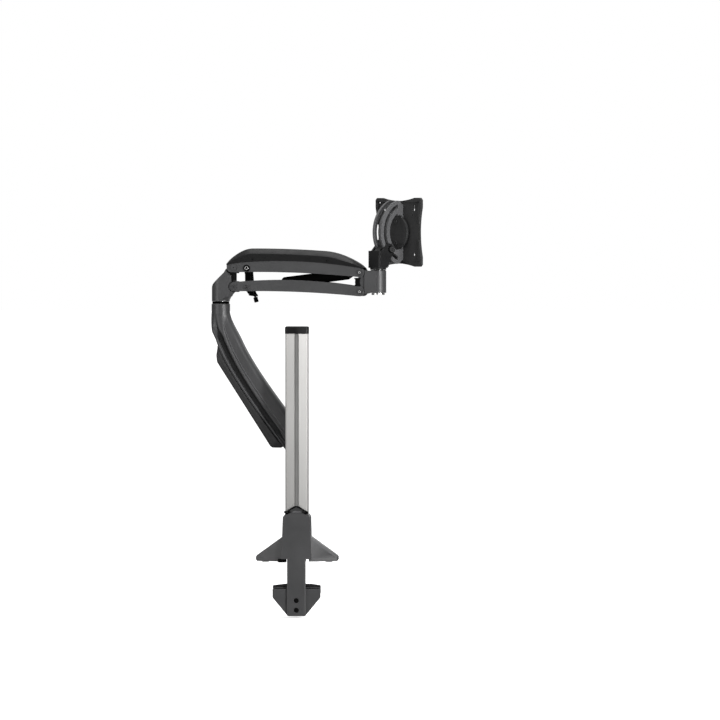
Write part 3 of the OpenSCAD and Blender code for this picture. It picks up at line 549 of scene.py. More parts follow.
def rounded(obj: Piece, width: float) -> Piece:
    """Rounds a mesh's sharp edges.

    Args:
        obj: The mesh.
        width: Width of the rounding in millimetres.

    Returns:
        The same object.
    """
    closed(opened(obj.data, flat=0.6), obj.data)
    bevel = obj.modifiers.new("edges", "BEVEL")
    bevel.width, bevel.segments = width * MM, 2
    bevel.limit_method, bevel.angle_limit = "ANGLE", math.radians(34)
    bevel.use_clamp_overlap = True
    settle(obj)
    shade(obj, 40)
    even = obj.modifiers.new("even", "WEIGHTED_NORMAL")
    even.keep_sharp, even.weight = True, 100
    return settle(obj)


def strip(work: bmesh.types.BMesh, low: list, high: list) -> None:
    """Fills the strip between two equally long lines of corners."""
    for a, b, c, d in zip(low, low[1:], high[1:], high):
        work.faces.new((a, b, c, d))


def finished(name: str, work: bmesh.types.BMesh, smooth: float = 40.0) -> Piece:
    """Turns a working mesh into a linked object.

    Args:
        name: The object's name.
        work: The working mesh.
        smooth: Angle in degrees under which edges are shaded smooth.

    Returns:
        The object, at the origin.
    """
    bmesh.ops.recalc_face_normals(work, faces=work.faces)
    mesh = bpy.data.meshes.new(name)
    closed(work, mesh)
    obj = linked(name, mesh)
    shade(obj, smooth)
    return obj


def loft(name: str, rings: list[list[Vector]], frame_at: Matrix, around: bool = False) -> Piece:
    """A closed skin through equally long rings.

    Args:
        name: The object's name.
        rings: The rings, in millimetres of the frame.
        frame_at: The frame.
        around: Whether the last ring meets the first one, instead of both being capped.

    Returns:
        The object.
    """
    work = bmesh.new()
    rows = [[work.verts.new(frame_at @ p) for p in ring] for ring in rings]
    after = rows[1:] + (rows[:1] if around else [])
    for low, high in zip(rows, after):
        strip(work, low + low[:1], high + high[:1])
    if around:
        bmesh.ops.remove_doubles(work, verts=work.verts, dist=1e-7)
    else:
        for row in (rows[0], rows[-1]):
            work.faces.new(row)
    return finished(name, work)


def prism(outline: Profile, low: float, high: float, frame_at: Matrix, across: bool = False,
          name: str = "tool") -> Piece:
    """A straight piece with the given outline.

    Args:
        outline: Corners in the frame's X and Y, or in X and Z for a piece that lies across.
        low: Start of its height, or of its width across.
        high: End of the same.
        frame_at: The frame.
        across: Whether the piece stretches along Y instead of Z.
        name: The piece's name.

    Returns:
        The piece.
    """
    rings = []
    for level in (low, high):
        rings.append([Vector((a, level, b)) if across else Vector((a, b, level)) for a, b in outline])
    return loft(name, rings, frame_at)


def lathe(profile: Profile, frame_at: Matrix, steps: int = 96) -> Piece:
    """A turned solid about the frame's Z axis, used as a joining or cutting tool.

    Args:
        profile: Radius and height of each corner, in millimetres, closed on itself.
        frame_at: The frame.
        steps: Faces round the axis.

    Returns:
        The object.
    """
    rings = []
    for k in range(steps):
        turn = Matrix.Rotation(2 * math.pi * k / steps, 3, "Z")
        rings.append([turn @ Vector((r, 0, z)) for r, z in profile])
    return loft("tool", rings, frame_at, True)


def upright(x: float) -> Matrix:
    """The frame of an upright axis on the lower arm, at a reach in millimetres."""
    return LOWER @ Matrix.Translation((x, 0, 0))


def drum(radius: float, low: float, high: float, x: float = 0.0) -> Piece:
    """A plain upright cylinder on the lower arm, used as a tool."""
    return lathe([(0, low), (radius, low), (radius, high), (0, high)], upright(x))


def joined(obj: Piece, how: str, *tools: Piece) -> None:
    """Joins, cuts or keeps the common part of closed meshes, and removes the tools.

    Args:
        obj: The mesh to keep.
        how: UNION, DIFFERENCE or INTERSECT.
        *tools: The other meshes, taken one after the other.
    """
    for tool in tools:
        modifier = obj.modifiers.new("tool", "BOOLEAN")
        modifier.object, modifier.operation, modifier.solver = tool, how, "EXACT"
        settle(obj)
        bpy.data.objects.remove(tool)


# ---------- pieces by geometry nodes ----------
class Tree(Graph):
    """A geometry-node group with named inputs."""

    def __init__(self, name: str, **inputs: float) -> None:
        """Starts a group.

        Args:
            name: The group's name.
            **inputs: Its number inputs and their defaults.
        """
        super().__init__(bpy.data.node_groups.new(name, "GeometryNodeTree"))
        self.keys = {}
        self.socket("Geometry", "Geometry")
        for key, value in inputs.items():
            self.socket(key, "Int" if isinstance(value, int) else "Float").default_value = value
        self.socket("Material", "Material")
        self.tree.interface.new_socket("Geometry", in_out="OUTPUT", socket_type="NodeSocketGeometry")
        self.source = self.add("NodeGroupInput")

    def socket(self, name: str, kind: str) -> bpy.types.NodeTreeInterfaceSocket:
        """Adds an input to the group and notes its identifier.

        Args:
            name: The input's name.
            kind: Geometry, Material, Int or Float.

        Returns:
            The input.
        """
        made = self.tree.interface.new_socket(name, in_out="INPUT", socket_type="NodeSocket" + kind)
        self.keys[name] = made.identifier
        return made

    def feed(self, socket: bpy.types.NodeSocket, value: object) -> None:
        """Feeds an input of a node; the name of one of the group's own inputs stands for that input."""
        given = isinstance(value, str) and value in self.keys
        super().feed(socket, self.source.outputs[value] if given else value)

    def product(self, a: object, b: object) -> Node:
        """Multiplies two numbers.

        Args:
            a: The first one, as feed takes it.
            b: The second one.

        Returns:
            The node.
        """
        node = self.add("ShaderNodeMath", {"operation": "MULTIPLY"})
        for socket, value in zip(node.inputs, (a, b)):
            self.feed(socket, value)
        return node

    def circle(self, radius: str, steps: int) -> Node:
        """A round line."""
        return self.add("GeometryNodeCurvePrimitiveCircle", Resolution=steps, Radius=radius)

    def tube(self, path: Node, radius: str, steps: int) -> Node:
        """A bar with capped ends along a path."""
        return self.add("GeometryNodeCurveToMesh", Curve=path, Profile_Curve=self.circle(radius, steps),
                        Fill_Caps=True)

    def cylinder(self, sides: object, radius: str, depth: str) -> Node:
        """An upright cylinder with the given number of sides."""
        return self.add("GeometryNodeMeshCylinder", Vertices=sides, Radius=radius, Depth=depth)

    def copies(self, points: object, shape: Node, **inputs: object) -> Node:
        """The shape on each point."""
        return self.add("GeometryNodeInstanceOnPoints", Points=points, Instance=shape, **inputs)

    def on_points(self, shape: Node) -> "Tree":
        """Ends the group with the shape on each point, turned to the point's stored axis.

        Args:
            shape: The shape.

        Returns:
            The finished group.
        """
        axis = self.add("GeometryNodeInputNamedAttribute", {"data_type": "FLOAT_VECTOR"}, Name="axis")
        aim = self.add("FunctionNodeAlignRotationToVector", {"axis": "Z"}, Vector=axis)
        return self.end(self.copies("Geometry", shape, Rotation=aim))

    def end(self, shape: Node) -> "Tree":
        """Ends the group with real geometry in the given material.

        Args:
            shape: The geometry.

        Returns:
            The finished group.
        """
        real = self.add("GeometryNodeRealizeInstances", Geometry=shape)
        dressed = self.add("GeometryNodeSetMaterial", Geometry=real, Material="Material")
        self.add("NodeGroupOutput", Geometry=dressed)
        return self

    def grow(self, name: str, points: list[Vector], axes: list[Vector], **values: object) -> Piece:
        """Runs the group on points that carry an axis each, or on one line through them.

        Args:
            name: Name of the new piece.
            points: The points, in metres.
            axes: The axis of each point; none for a line.
            **values: The material, and inputs that differ from their defaults.

        Returns:
            A plain mesh.
        """
        mesh = bpy.data.meshes.new(name)
        edges = [] if axes else [(i, i + 1) for i in range(len(points) - 1)]
        mesh.from_pydata(points, edges, [])
        if axes:
            stored = mesh.attributes.new("axis", "FLOAT_VECTOR", "POINT")
            for spot, axis in zip(stored.data, axes):
                spot.vector = axis
        obj = linked(name, mesh)
        modifier = obj.modifiers.new(name, "NODES")
        modifier.node_group = self.tree
        for key, value in values.items():
            modifier[self.keys[key]] = value
        settle(obj)
        shade(obj, 35)
        return obj


class Trees:
    """The geometry-node groups of this object."""

    def __init__(self) -> None:
        """Builds each group once."""
        self.ring = self.ring_tree()
        self.hexagon = self.hexagon_tree()
        self.thread = self.thread_tree()
        self.ribs = self.ribs_tree()
        self.studs = self.studs_tree()
        self.highlight_bead = self.bead_tree()

    def ring_tree(self) -> Tree:
        """A rounded ring about each point's axis."""
        tree = Tree("ring", Radius=3.0 * MM, Wire=0.5 * MM)
        return tree.on_points(tree.tube(tree.circle("Radius", 48), "Wire", 10))

    def hexagon_tree(self) -> Tree:
        """A low plug about each point's axis, with six sides or more."""
        tree = Tree("hexagon", Sides=6, Radius=1.6 * MM, Depth=0.6 * MM)
        return tree.on_points(tree.cylinder("Sides", "Radius", "Depth"))

    def thread_tree(self) -> Tree:
        """A screw thread that climbs from each point along its axis.

        Returns:
            The group.
        """
        tree = Tree("thread", Radius=5.0 * MM, Pitch=3.0 * MM, Turns=8.0, Ridge=0.6 * MM)
        path = tree.add("GeometryNodeCurveSpiral", Resolution=40, Rotations="Turns", Start_Radius="Radius",
                        End_Radius="Radius", Height=tree.product("Pitch", "Turns"))
        return tree.on_points(tree.tube(path, "Ridge", 4))

    def ribs_tree(self) -> Tree:
        """Upright ribs in a circle about each point's axis.

        Returns:
            The group.
        """
        tree = Tree("ribs", Count=24, Radius=3.0 * MM, Height=6.0 * MM, Rib=0.4 * MM)
        circle = tree.add("GeometryNodeMeshCircle", Vertices="Count", Radius="Radius")
        return tree.on_points(tree.copies(circle, tree.cylinder(8, "Rib", "Height")))

    def studs_tree(self) -> Tree:
        """A field of low pyramids across each point's axis.

        Returns:
            The group.
        """
        tree = Tree("studs", Columns=10, Rows=6, Length=50.0 * MM, Width=30.0 * MM, Foot=1.3 * MM,
                    Tall=0.5 * MM)
        grid = tree.add("GeometryNodeMeshGrid", Size_X="Length", Size_Y="Width", Vertices_X="Columns",
                        Vertices_Y="Rows")
        stud = tree.add("GeometryNodeMeshCone", Vertices=4, Radius_Top=tree.product("Foot", 0.4),
                        Radius_Bottom="Foot", Depth="Tall")
        return tree.on_points(tree.copies(grid, stud))

    def bead_tree(self) -> Tree:
        """A round bar along a line of points."""
        tree = Tree("highlight_bead", Radius=0.8 * MM)
        return tree.end(tree.tube(tree.add("GeometryNodeMeshToCurve", Mesh="Geometry"), "Radius", 10))


@dataclass(frozen=True)
class PinLook:
    """How the heads of a pin look, in millimetres."""

    half: float = 16.75
    lid: float = 0.0
    dark_r: float = 0.0
    dark_wire: float = 0.4
    light_r: float = 0.0
    light_wire: float = 0.5
    socket: float = 1.2
    proud: float = 0.42


@dataclass
class SubAssembly:
    """A group of pieces, with the finishes and groups that dress it."""

    palette: Palette
    trees: Trees

    def fit(self, piece: Piece, body: str, slot: Slot, *nodes: str, look: Look | None = None) -> None:
        """Gives a finished piece its material and body, and hides the nodes that it stands for.

        Args:
            piece: The piece.
            body: The body that it rides on.
            slot: Its material slot, whose finish it gets when no variant is given.
            *nodes: CAD nodes that it replaces.
            look: A variant of the slot's finish, if any.
        """
        piece.data.materials.clear()
        piece.data.materials.append(look or self.palette[slot])
        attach(piece, body)
        if nodes:
            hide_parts(*nodes)
        LOG.info("%s: %d faces on %s", piece.name, len(piece.data.polygons), body)

    def round_off(self, widths: dict[str, float], look: Look | None = None) -> None:
        """Stands a rounded copy in for each CAD node.

        Args:
            widths: Edge width of each node, in millimetres.
            look: A variant of the slot's finish, if any.
        """
        for node, width in widths.items():
            self.stand_in(node, merged_copy(node), width, look)

    def stand_in(self, node: str, piece: Piece, width: float, look: Look | None = None) -> None:
        """Rounds a piece and stands it in for a CAD node, on the node's body and in its slot."""
        self.fit(rounded(piece, width), frame["nodes"][node]["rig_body"], slot_of(node), node, look=look)

    def grow(self, tree: Tree, name: str, body: str, slot: Slot, points: list[tuple[Vector, Vector]],
             look: Look | None = None, **values: float) -> None:
        """Grows a geometry-node piece and puts it on its body.

        Args:
            tree: The group.
            name: The piece's name.
            body: The body that it rides on.
            slot: Its material slot.
            points: Place in metres and axis of each copy.
            look: A variant of the slot's finish, if any.
            **values: Inputs of the group, with lengths in metres.
        """
        places, axes = [p for p, _ in points], [axis for _, axis in points]
        look = look or self.palette[slot]
        self.fit(tree.grow(name, places, axes, Material=look, **values), body, slot, look=look)

    def shim(self, name: str, body: str, outline: Profile, low: float, high: float) -> None:
        """Fits a plain black piece that lies across the upper arm.

        Args:
            name: The piece's name.
            body: The body that it rides on.
            outline: Its corners in the upper arm's frame.
            low: Start of its width.
            high: End of its width.
        """
        self.fit(prism(outline, low, high, UPPER, True, name), body, Slot.RUBBER)

    def pin_heads(self, name: str, body: str, places: list[Vector], look: PinLook) -> None:
        """Dresses both heads of each pin with a lid, rings and a socket.

        Args:
            name: First word of the pieces' names.
            body: The body that the pins ride on.
            places: Middle of each pin.
            look: Sizes of the parts.
        """
        across = (UPPER.to_3x3() @ Y).normalized()
        ends = [(p + across * s * look.half * MM, across * s) for p in places for s in (-1, 1)]
        proud = [(p + axis * look.proud * MM, axis) for p, axis in ends]
        if look.lid:
            self.grow(self.trees.hexagon, name + "_lids", body, Slot.CHARCOAL, ends, Sides=48,
                      Radius=look.lid * MM, Depth=0.9 * MM)
        for word, slot, radius, wire in (("_dark_rims", Slot.BLACK_STEEL, look.dark_r, look.dark_wire),
                                         ("_light_rims", Slot.BRIGHT_STEEL, look.light_r, look.light_wire)):
            if radius:
                self.grow(self.trees.ring, name + word, body, slot, proud, Radius=radius * MM,
                          Wire=wire * MM)
        self.grow(self.trees.hexagon, name + "_sockets", body, Slot.BLACK_STEEL, proud, Sides=6,
                  Radius=look.socket * MM, Depth=0.5 * MM)


# ---------- sub-assemblies ----------
@dataclass
class ClampBase(SubAssembly):
    """Foot, back plate, jaw, spindle and pads."""

    back: float = -24.0
    front: float = 24.0
    wing_low: float = 6.6
    shoulder: float = 27.5
    span: float = 69.0
    rise: float = 40.0
    tip: float = 11.0
    chamfer: float = 4.2
    spindle_r: float = 4.6
    pitch: float = 3.0
    widths: dict[str, float] = field(default_factory=lambda: {
        "lower_jaw": 0.9, "clamp_grip": 0.7, "foot_pads": 0.5, "post_wedges": 0.4})

    def build(self) -> None:
        """Makes the plate and foot, rounds the castings and adds thread, screws and the pad's studs."""
        self.round_off(self.widths)
        self.round_off({"pressure_plate": 0.5}, self.palette.satin)
        self.plate()
        self.foot()
        self.thread()
        self.screws()
        self.studs()

    def plate(self) -> None:
        """The back plate, with a shallow chamfer down each side of its tongue."""
        plate = merged_copy("clamp_back_plate")
        low, high = self.back - 5.1, self.back - 3.4
        for side in (1, -1):
            wedge = mirrored([(12.6, low), (16.6, low), (16.6, high)], side)
            joined(plate, "DIFFERENCE", prism(wedge, -100, 5.8, WORLD))
        self.stand_in("clamp_back_plate", plate, 0.7)

    def foot(self) -> None:
        """The foot, with each wing's field filled and its slope chamfered on both faces."""
        foot = merged_copy("base_foot")
        front_view = [(24, self.wing_low), (24, 39), (27.4, 35.6), (61.5, 9.8), (61.5, self.wing_low)]
        reach = self.span - 3
        plan = [(16, self.back + 3), (24.5, self.back + 4), (reach, -2), (reach, self.front - 6),
                (24.5, self.front - 1), (16, self.front - 1)]
        for side in (1, -1):
            wing = prism(mirrored(front_view, side), -40, 40, WORLD, True)
            joined(wing, "INTERSECT", prism(mirrored(plan, side), self.wing_low, 60, WORLD))
            joined(foot, "UNION", wing)
        self.slope_edges(foot)
        self.stand_in("base_foot", foot, 1.1)

    def slope_edges(self, foot: Piece) -> None:
        """Cuts a flat chamfer along the upper edges of both wings.

        Args:
            foot: The foot.
        """
        run = Vector((self.span - 1.5 - self.shoulder, 0, self.tip - self.rise)).normalized()
        work = opened(foot.data, 2e-6, 1.0)
        chosen = []
        for edge in work.edges:
            way = edge.verts[0].co - edge.verts[1].co
            if len(edge.link_faces) != 2 or way.length < 12 * MM:
                continue
            way = Vector((abs(way.x), 0, -abs(way.z))).normalized()
            upward = max(face.normal.z for face in edge.link_faces)
            if way.dot(run) > 0.99 and upward > 0.6:
                chosen.append(edge)
        bmesh.ops.bevel(work, geom=chosen, offset=self.chamfer * MM, segments=1, affect="EDGES",
                        profile=0.5, clamp_overlap=False)
        closed(work, foot.data)
        LOG.info("chamfered %d wing edges", len(chosen))

    def thread(self) -> None:
        """Winds a thread along the clamping spindle."""
        low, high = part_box("clamp_screw")
        middle = (low + high) / 2
        start = Vector((middle.x, middle.y, low.z + self.pitch * MM))
        turns = (high.z - low.z) / MM / self.pitch - 2
        self.grow(self.trees.thread, "spindle_thread", "spindle", Slot.BRIGHT_STEEL, [(start, UP)],
                       Radius=self.spindle_r * MM, Pitch=self.pitch * MM, Turns=turns, Ridge=0.34 * MM)

    def screws(self) -> None:
        """Dresses the faces, rims and sockets of the jaw's two screws."""
        grow, trees = self.grow, self.trees
        low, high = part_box("jaw_screws")
        inset = 4.2 * MM
        points = [(Vector((0, low.y + 0.1 * MM, z)), -Y) for z in (low.z + inset, high.z - inset)]
        grow(trees.hexagon, "jaw_screw_faces", "base", Slot.RUBBER, points, Sides=40, Radius=3.9 * MM,
             Depth=0.6 * MM)
        grow(trees.ring, "jaw_screw_rims", "base", Slot.BLACK_STEEL, points, Radius=3.4 * MM, Wire=0.35 * MM)
        grow(trees.hexagon, "jaw_screw_sockets", "base", Slot.BLACK_STEEL, points, Sides=6, Radius=1.9 * MM,
             Depth=0.9 * MM)

    def studs(self) -> None:
        """Sets rows of small studs into the top of the pressure pad."""
        low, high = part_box("pressure_rubber")
        middle = (low + high) / 2
        top = Vector((middle.x, middle.y, high.z - 0.2 * MM))
        self.grow(self.trees.studs, "pad_studs", "pressure", Slot.RUBBER, [(top, UP)],
                       Length=38 * MM, Width=38 * MM, Columns=12, Rows=12, Foot=1.2 * MM, Tall=0.4 * MM)


@dataclass
class Column(SubAssembly):
    """The slotted post and its cap."""

    half: float = 19.0
    slot: float = 3.4
    gable_y: float = -23.6

    def build(self) -> None:
        """Rounds the cap, paints shade into the back slot and dresses the foot of the post."""
        self.round_off({"post_cap": 1.0})
        self.slot_shade()
        self.gable()

    def slot_shade(self) -> None:
        """A grey strip in the slot that faces back: painted shade on the slot's floor."""
        _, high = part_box("post")
        deep, bend, face = (-self.half + out for out in (3.4, 1.9, 1.5))
        outline = [(-self.slot, deep), (-self.slot, bend), (-self.slot + 0.7, face), (self.slot - 0.7, face),
                   (self.slot, bend), (self.slot, deep)]
        slot_shade = prism(outline, 82, high.z / MM - 0.5, WORLD, name="slot_shade_strip")
        self.fit(slot_shade, "base", Slot.ALLOY, look=self.palette.strip)

    def gable(self) -> None:
        """Dark ribs along the gable at the post's foot, with a grey clip between them."""
        looks = self.palette
        rib = [(0, 94.8), (0, 92.8), (18.4, 83.6), (19.4, 85.0)]
        wedge = [(9.5, 83.8), (11.5, 87.2), (19.6, 84.2), (20.2, 82.8), (15.6, 80.6)]
        middle = [(0, 93.4), (-17.6, 84.2), (-17.6, 82.6), (17.6, 82.6), (17.6, 84.2)]
        clip = [(-9, 83.4), (-6, 85.2), (-2, 86.4), (2, 85.2), (6, 85.6), (10, 83.4)]
        parts = [("field", middle, 0.5, looks.satin), ("clip", clip, 0.9, looks[Slot.ARC])]
        for side, name in ((1, "right"), (-1, "left")):
            parts.append(("rib_" + name, mirrored(rib, side), 1.2, looks[Slot.BLACK_STEEL]))
            parts.append(("wedge_" + name, mirrored(wedge, side), 1.5, looks.matt))
        for name, outline, depth, look in parts:
            piece = prism(outline, self.gable_y - depth, self.gable_y, WORLD, True, "gable_" + name)
            self.fit(piece, "base", Slot.BLACK_STEEL, look=look)


@dataclass
class Carriage(SubAssembly):
    """The slide on the post with its nut, screws and root pin."""

    widths: dict[str, float] = field(default_factory=lambda: {
        "carriage": 0.9, "root_pin": 0.4, "carriage_screws": 0.3})

    def build(self) -> None:
        """Rounds the slide and its fasteners."""
        self.round_off(self.widths)


@dataclass
class LowerArm(SubAssembly):
    """The curved lower arm: a swept casting with side grooves, a black strip of painted shade in each, and a
    clip-on cover.
    """

    reach: float = 133.0
    collar_r: float = 15.5
    collar_h: float = 18.0
    boss_r: float = 17.5
    boss_h: float = 80.0
    bore_r: float = 8.0
    swing_r: float = 19.2
    crown_grow: float = 7.1
    rail_grow: float = -4.5
    belly: float = 4.5
    belly_peak: float = 0.185
    belly_end: float = 0.245
    highlight_lip_r: float = 0.7
    rings: int = 84
    blend: tuple[float, float] = (0.02, 0.31)
    cover: tuple[float, float] = (0.29, 0.94)
    side: Profile = field(default_factory=lambda: [
        (6, 20), (10.5, 19), (13.6, 16.4), (14.8, 12.5), (15.0, 5), (15.1, 2.6), (16.1, 1.2), (16.0, -0.6),
        (14.4, -2.2), (10.9, -3.6), (10.9, -11.6), (13.2, -12.8), (14.4, -14.2), (13.6, -16.6),
        (12.2, -17.5)])

    def build(self) -> None:
        """Makes the arm, the painted shade and highlighted lips of its grooves, and its cover."""
        self.casting()
        self.groove_shade_strips()
        self.cable_cover()
        self.round_off({"elbow_ring": 0.4}, self.palette.matt)

    def line(self, t: float) -> tuple[Vector, Vector]:
        """A point of the arm's middle line, as reach and height, and the direction towards the crown.

        Args:
            t: 0 at the elbow and 1 at the root.

        Returns:
            The point and the direction.
        """
        a, b, c, d = (Vector(p) for p in ((self.reach, ELBOW_Z - 5.4), (self.reach, ELBOW_Z - 70),
                                          (self.reach * 0.6, ROOT_Z + 79), (0, ROOT_Z - 27)))
        s = 1 - t
        point = a * s ** 3 + b * 3 * t * s * s + c * 3 * t * t * s + d * t ** 3
        along = ((b - a) * s * s + (c - b) * 2 * t * s + (d - c) * t * t).normalized()
        return point, Vector((along.y, -along.x))

    def spot(self, t: float, across: float, offset: float) -> Vector:
        """The place that lies across and off the middle line at a share of the arm's length."""
        point, normal = self.line(t)
        return Vector((point.x + normal.x * offset, across, point.y + normal.y * offset))

    def spread(self, t: float, offset: float) -> float:
        """An offset of the section, grown along the arm."""
        grow = self.rail_grow / -self.side[-1][1] if offset < 0 else self.crown_grow / self.side[0][1]
        return offset * (1 + t * grow)

    def ring(self, t: float) -> list[Vector]:
        """The arm's section, which starts round at the elbow and takes on the side's profile.

        Args:
            t: 0 at the elbow and 1 at the root.

        Returns:
            The ring's points.
        """
        blend = ease(*self.blend, t)
        fade = self.belly_end - self.belly_peak
        belly = self.belly * min(1, t / self.belly_peak) * min(1, max(0, (self.belly_end - t) / fade))
        whole = both(self.side)
        radius = self.collar_r - 0.6
        ring = []
        for i, (w, v) in enumerate(flowing(whole)):
            angle = math.radians(90 - (i / STEPS + 0.5) * 360 / len(whole))
            drop = belly * (1 - blend / 2) if v < 0 else 0
            off = mix(radius * math.sin(angle), self.spread(t, v), blend) - drop
            ring.append(self.spot(t, mix(radius * math.cos(angle), w, blend), off))
        return ring

    def casting(self) -> None:
        """The arm with its collar, boss and bores."""
        arm = loft("arm_casting", [self.ring(t) for t in shares(self.rings)], LOWER)
        low, high = ROOT_Z - self.boss_h / 2, ROOT_Z + self.boss_h / 2
        behind = prism([(-60, -50), (0, -50), (0, 50), (-60, 50)], low - 40, high + 40, LOWER)
        joined(behind, "DIFFERENCE", drum(self.boss_r, low - 41, high + 41))
        joined(arm, "DIFFERENCE", behind, drum(60, low - 30, low))
        boss = [(0, low), (self.boss_r - 1, low), (self.boss_r, low + 1), (self.boss_r, high - 1),
                (self.boss_r - 1, high), (0, high)]
        collar = [(0, ELBOW_Z - self.collar_h), (self.collar_r, ELBOW_Z - self.collar_h),
                  (self.collar_r, ELBOW_Z - 0.8), (self.collar_r - 0.8, ELBOW_Z), (0, ELBOW_Z)]
        joined(arm, "UNION", lathe(boss, LOWER), lathe(collar, upright(self.reach)))
        joined(arm, "DIFFERENCE", drum(self.swing_r, high, high + 30),
               drum(self.bore_r, ELBOW_Z - 45, ELBOW_Z + 5, self.reach),
               drum(self.bore_r, low - 5, high + 25))
        shade(arm, 28)
        self.fit(arm, "lower_arm", Slot.CHARCOAL, "lower_arm")

    def groove_shade_strips(self) -> None:
        """A black strip of painted shade in the groove on each side of the arm, with a raised lip above and
        below in a lighter grey that paints a highlight.
        """
        count, taper = 60, 5
        for side, name in ((1, "near"), (-1, "far")):
            rings = []
            for k in range(count + 1):
                t = mix(0.16, 0.93, k / count)
                wide = min(1.0, k / taper) * min(1.0, (count - k) / taper)
                middle, half = self.spread(t, -7.6), 4.0 * max(0.25, wide)
                floor = mix(self.collar_r - 2.2, 10.6, ease(0.02, 0.34, t))
                section = ((0, -half), (0.9, -half + 0.5), (1.1, 0), (0.9, half - 0.5), (0, half))
                rings.append([self.spot(t, side * (floor + w), middle + v) for w, v in section])
            self.fit(loft("groove_shade_" + name, rings, LOWER), "lower_arm", Slot.PLASTIC)
            self.highlight_bead(name + "_upper", side, 0.16, 15.7, 4.8)
            self.highlight_bead(name + "_lower", side, 0.24, 14.4, -14.4)

    def highlight_bead(self, name: str, side: int, start: float, out: float, offset: float) -> None:
        """A thin raised lip that follows the arm beside its groove, in a lighter grey that paints a highlight
        on it.

        Args:
            name: End of the piece's name.
            side: 1 or -1, the side of the arm.
            start: Share of the arm's length at which it starts.
            out: How far out of the arm's middle plane it lies.
            offset: Offset of the section at which it lies.
        """
        points = []
        for t in (mix(start, 0.9, share) for share in shares(72)):
            wide = mix(self.collar_r - 0.6, out, ease(*self.blend, t)) - self.highlight_lip_r * 0.6
            points.append(LOWER @ self.spot(t, side * wide, self.spread(t, offset)))
        # The lighter arc grey paints a highlight on the lip.
        look = self.palette[Slot.ARC]
        lip = self.trees.highlight_bead.grow("highlight_lip_" + name, points, [], Material=look, Radius=self.highlight_lip_r * MM)
        self.fit(lip, "lower_arm", Slot.CHARCOAL, look=look)

    def cover_ring(self, t: float) -> list[Vector]:
        """The cover's section, whose back runs along two straight lines that meet at its tip.

        Args:
            t: 0 at the elbow and 1 at the root.

        Returns:
            The ring's points.
        """
        start, end = self.cover
        point, normal = self.line(t)
        rise = min(ease(start - 0.02, start + 0.06, t), 1 - ease(end - 0.03, end + 0.01, t))
        low = -self.spread(t, self.side[-1][1]) + 0.4
        tip = Vector((self.reach + 4.8, ELBOW_Z - 97.9))
        back = min((point - tip).cross(run) / normal.cross(run)
                   for run in (Vector((-92.6, -142.6)), Vector((-3.5, -29))))
        out = mix(low, back, mix(0.2, 1, rise))
        half = mix(9.5, 12.4, rise)
        shape = [(half, low), (half, mix(low, out, 0.6)), (half - 1.2, mix(low, out, 0.86)),
                 (half - 4.2, out)]
        whole = shape + [(0, out + 0.4)] + mirrored(shape[::-1], -1)
        return [self.spot(t, w, -v) for w, v in flowing(whole)]

    def cable_cover(self) -> None:
        """The plastic cover that clips along the outside of the arm."""
        rings = [self.cover_ring(mix(*self.cover, share)) for share in shares(60)]
        cover = loft("arm_cable_cover", rings, LOWER)
        self.fit(cover, "lower_arm", Slot.PLASTIC, "cable_cover", look=self.palette.satin)


@dataclass
class Elbow(SubAssembly):
    """The casting over the elbow shaft, with the pins of the two links."""

    lug: float = 12.2
    pocket: float = 13.2
    # Radius and span across of the black discs that paint shade beside the link ends.
    gap_shade_r: float = 9.2
    gap_shade_span: tuple[float, float] = (12.1, 12.42)

    def build(self) -> None:
        """Makes the casting, its black pieces of painted shade and its pins."""
        self.casting()
        self.gap_shade_pieces()
        self.pin_heads("elbow_upper", "elbow", [at("arm_lift")], PinLook(lid=5.1, socket=1.0))
        self.pin_heads("elbow_lower", "elbow", [at("lower_link_turn")],
                            PinLook(lid=5.1, dark_r=3.0, dark_wire=0.3, socket=1.1))

    def casting(self) -> None:
        """The casting, with pockets for the ends of the upper link's walls."""
        casting = merged_copy("elbow_casting")
        pocket = shifted(round_line(self.pocket, 64), pivot("arm_lift"))
        inner, outer = self.lug + 0.07, 30
        trim = [(15.1, 431), (15.1, 436.5), (19, 442), (40, 442), (40, 431)]
        joined(casting, "DIFFERENCE", prism(pocket, -outer, -inner, UPPER, True),
               prism(pocket, inner, outer, UPPER, True), lathe(trim, UPPER))
        self.stand_in("elbow_casting", casting, 0.9)

    def gap_shade_pieces(self) -> None:
        """Painted shade: thin black discs and corners beside the link ends and a black block on the neck
        between the pins, where the casting lies in shade between the links.
        """
        upper, lower = pivot("arm_lift"), pivot("lower_link_turn")
        left, right = upper.x - 7.5, upper.x - 1.2
        top, foot = upper.z - self.gap_shade_r, lower.z + self.gap_shade_r
        neck = [(left, top), (right, top), (right, foot), (left, foot)]
        self.shim("neck_gap_shade", "elbow", neck, -self.lug - 0.25, self.lug + 0.25)
        disc = shifted(round_line(self.gap_shade_r, 64), lower)
        corner = shifted([(-12.9, -0.5), (-13.1, -3.6), (-11.2, -7.6), (-7.4, -9.6), (3, -9.6), (3, -6),
                          (-5, -6), (-9, -0.5)], upper)
        inner, outer = self.gap_shade_span
        for side, low, high in (("near", -outer, -inner), ("far", inner, outer)):
            self.shim("link_end_shade_disc_" + side, "elbow", disc, low, high)
            self.shim("link_end_shade_" + side, "elbow", corner, low, high)


